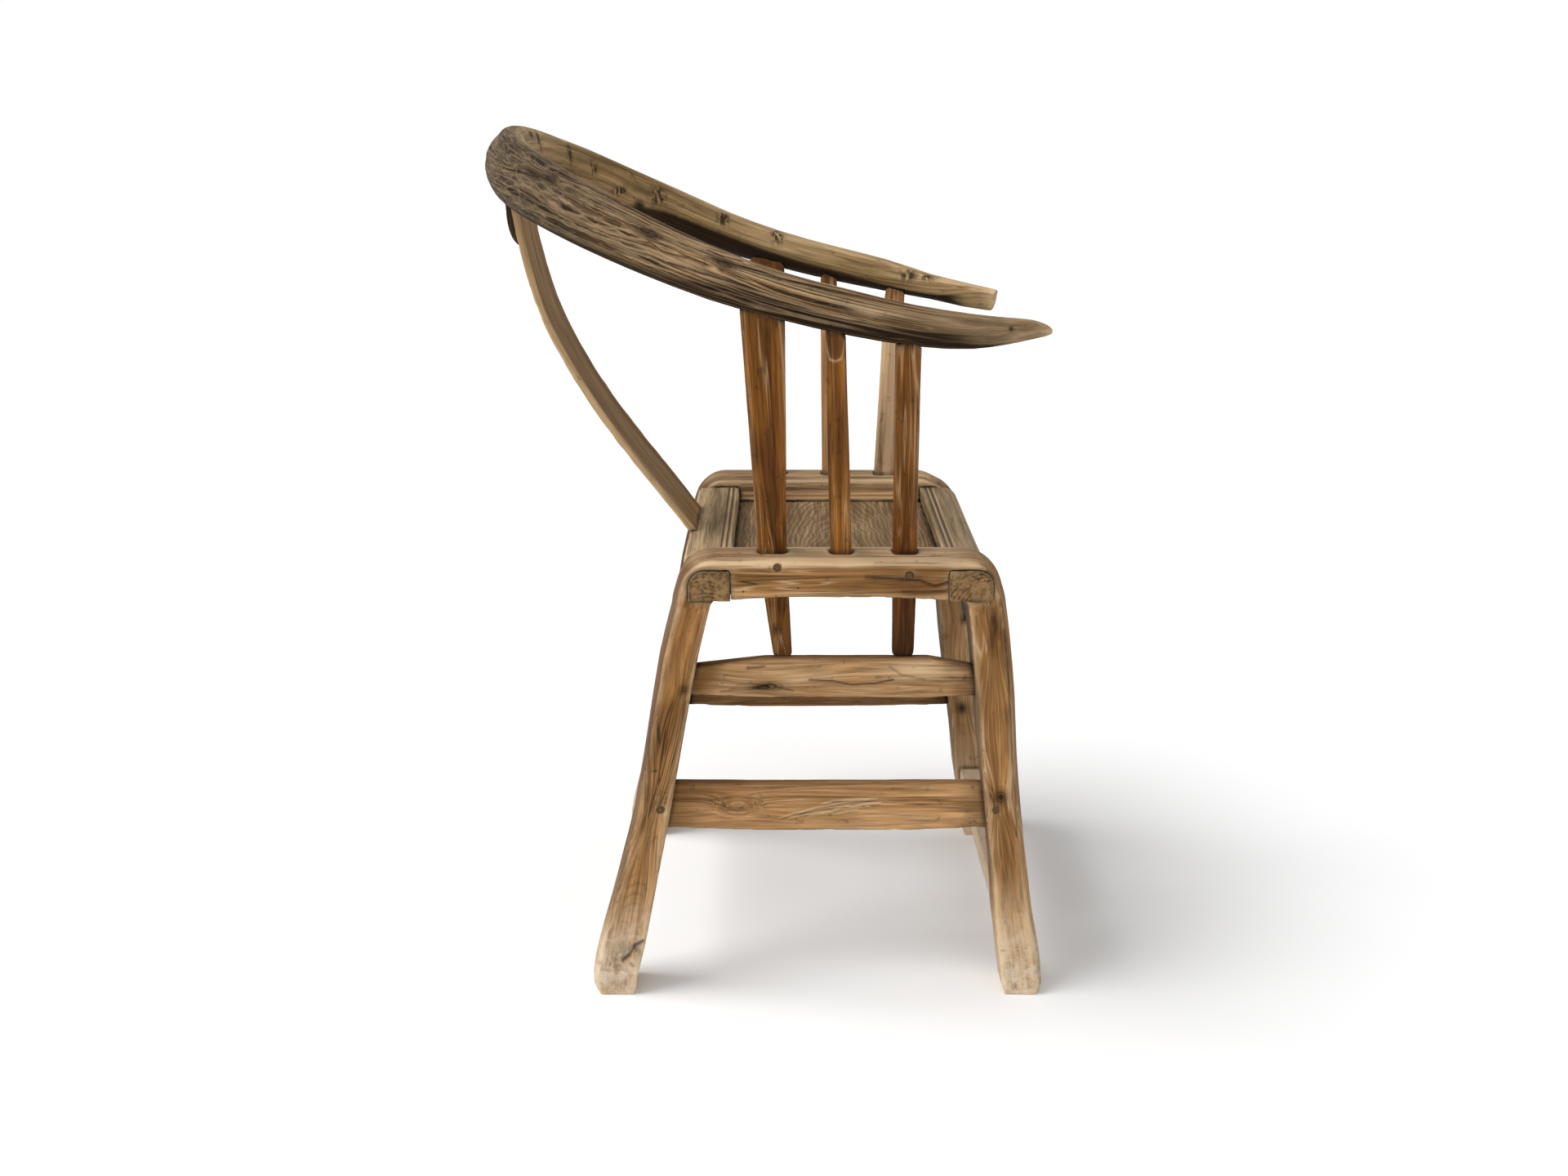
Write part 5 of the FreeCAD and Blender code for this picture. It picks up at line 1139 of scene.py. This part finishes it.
class ARMCHAIR_OT_stretchers(bpy.types.Operator):
    """Dresses the stretchers, the footrest and the apron"""

    bl_idname = "armchair.stretchers"
    bl_label = "Stretchers"

    def execute(self, context):
        gains = {"upper": 0.92, "lower": 1.12}
        heart_levels = {"upper": -0.362, "lower": -0.212}
        rows = [(name, side, place) for name, side in SIDES.items() for place in gains]
        for number, (name, side, place) in enumerate(rows):
            node = f"{name}_{place}_stretcher"
            finish = wood(node, "stretcher", (-0.20 * side, heart_levels[place]), 50.0, 0.3,
                          20.0 + number, gain=gains[place], checks=0.7, pale_share=0.4,
                          contrast=0.85)
            dress(node, straight("X"), finish, mark_stretcher(place, side), 2,
                  81 + number)
        cross = wood("cross_pieces", "stretcher", (0.13, -0.21), seed=25.0, gain=gains["lower"])
        for node, mark, seed in (("back_stretcher", mark_plain, 91),
                                 ("footrest", mark_footrest, 92)):
            dress(node, straight("Y"), cross, mark, 2, seed)
        # the apron gets near-black tones as painted shade
        apron = wood("apron", "hidden", seed=27.0)
        dress("front_apron", straight("Y"), apron, mark_dark, 1, 93)
        return {"FINISHED"}


class ARMCHAIR_OT_pegs(bpy.types.Operator):
    """Gives the wooden pegs their end grain"""

    bl_idname = "armchair.pegs"
    bl_label = "Pegs"

    def execute(self, context):
        finish = Finish("pegs")
        place = finish.node("ShaderNodeTexCoord").outputs["Object"]
        speck = finish.noise(place, 700.0, 2.0)
        colour = finish.mix(speck, tones().peg_dark, tones().peg_light)
        finish.close(colour, speck * 0.2 + 0.6, speck)
        for node in ("post_pegs", "stretcher_pegs"):
            piece = frame["nodes"][node]
            piece.data.materials.clear()
            piece.data.materials.append(finish.material)
        return {"FINISHED"}


class ARMCHAIR_OT_stage(bpy.types.Operator):
    """Adds the floor, the two soft lamps, the background and the camera"""

    bl_idname = "armchair.stage"
    bl_label = "Stage"

    def execute(self, context):
        scene = context.scene
        scene.view_settings.view_transform = "Standard"
        bpy.ops.object.select_all(action="DESELECT")
        bpy.ops.mesh.primitive_plane_add(size=FLOOR_SIZE, location=(0, 0, 0))
        floor = context.active_object
        floor.name = "floor"
        floor.data.materials.append(floor_finish())
        for name, strength, angle, towards in LAMPS:
            bpy.ops.object.light_add(type="SUN", location=(0, 0, 3))
            lamp = context.active_object
            lamp.name = name
            lamp.data.energy = strength
            lamp.data.angle = angle or sizes().lamp_angle
            lamp.rotation_euler = Vector(towards).to_track_quat("-Z", "Y").to_euler()
        scene.world = scene.world or bpy.data.worlds.new("World")
        white_surroundings(scene.world)
        camera = bpy.data.cameras.new("camera")
        camera.lens = sizes().lens
        camera.sensor_width = SENSOR
        stand = bpy.data.objects.new("camera", camera)
        scene.collection.objects.link(stand)
        stand.location = CAMERA_PLACE
        stand.rotation_euler = (math.radians(CAMERA_TILT), 0, 0)
        scene.camera = stand
        return {"FINISHED"}


def floor_finish():
    """White floor that keeps the shadow; the camera sees it a little brighter."""
    finish = Finish("floor")
    seen = Number(finish, finish.node("ShaderNodeLightPath").outputs["Is Camera Ray"])
    matt = finish.node("ShaderNodeBsdfDiffuse", Color=FLOOR_WHITE)
    glow = finish.node("ShaderNodeEmission", Color=WHITE, Strength=seen * FLOOR_GLOW)
    both = finish.node("ShaderNodeAddShader", in0=matt.outputs[0], in1=glow.outputs[0])
    finish.node("ShaderNodeOutputMaterial", Surface=both.outputs[0])
    return finish.material


def white_surroundings(world):
    """White behind the chair, and a plain even fill light for everything else."""
    world.use_nodes = True
    nodes = Nodes(world.node_tree)
    rays = nodes.node("ShaderNodeLightPath").outputs
    shown = nodes.most(nodes.most(rays["Is Camera Ray"], rays["Is Transmission Ray"]),
                       rays["Is Glossy Ray"])
    fill = nodes.node("ShaderNodeBackground", Color=WHITE, Strength=FILL_LIGHT)
    white = nodes.node("ShaderNodeBackground", Color=WHITE, Strength=1.0)
    both = nodes.node("ShaderNodeMixShader", in0=shown, in1=fill.outputs[0], in2=white.outputs[0])
    nodes.node("ShaderNodeOutputWorld", Surface=both.outputs[0])


STEPS = (
    ARMCHAIR_OT_side_frames, ARMCHAIR_OT_seat, ARMCHAIR_OT_arm_rail, ARMCHAIR_OT_back,
    ARMCHAIR_OT_posts, ARMCHAIR_OT_stretchers, ARMCHAIR_OT_pegs, ARMCHAIR_OT_stage,
)


class ARMCHAIR_PT_steps(bpy.types.Panel):
    """Lists the steps that dress the armchair"""

    bl_idname = "ARMCHAIR_PT_steps"
    bl_label = "Armchair"
    bl_space_type = "VIEW_3D"
    bl_region_type = "UI"
    bl_category = "Armchair"

    def draw(self, context):
        for step in STEPS:
            self.layout.operator(step.bl_idname)
        for group in (context.scene.armchair_sizes, context.scene.armchair_tones):
            for name in group.__annotations__:
                self.layout.prop(group, name)


CLASSES = (ArmchairTones, ArmchairSizes) + STEPS + (ARMCHAIR_PT_steps,)


def register():
    for item in CLASSES:
        bpy.utils.register_class(item)
    bpy.types.Scene.armchair_tones = PointerProperty(type=ArmchairTones)
    bpy.types.Scene.armchair_sizes = PointerProperty(type=ArmchairSizes)


def unregister():
    del bpy.types.Scene.armchair_sizes
    del bpy.types.Scene.armchair_tones
    for item in reversed(CLASSES):
        bpy.utils.unregister_class(item)


def main():
    register()
    for step in STEPS:
        group, name = step.bl_idname.split(".")
        getattr(getattr(bpy.ops, group), name)()


if __name__ == "__main__":
    main()
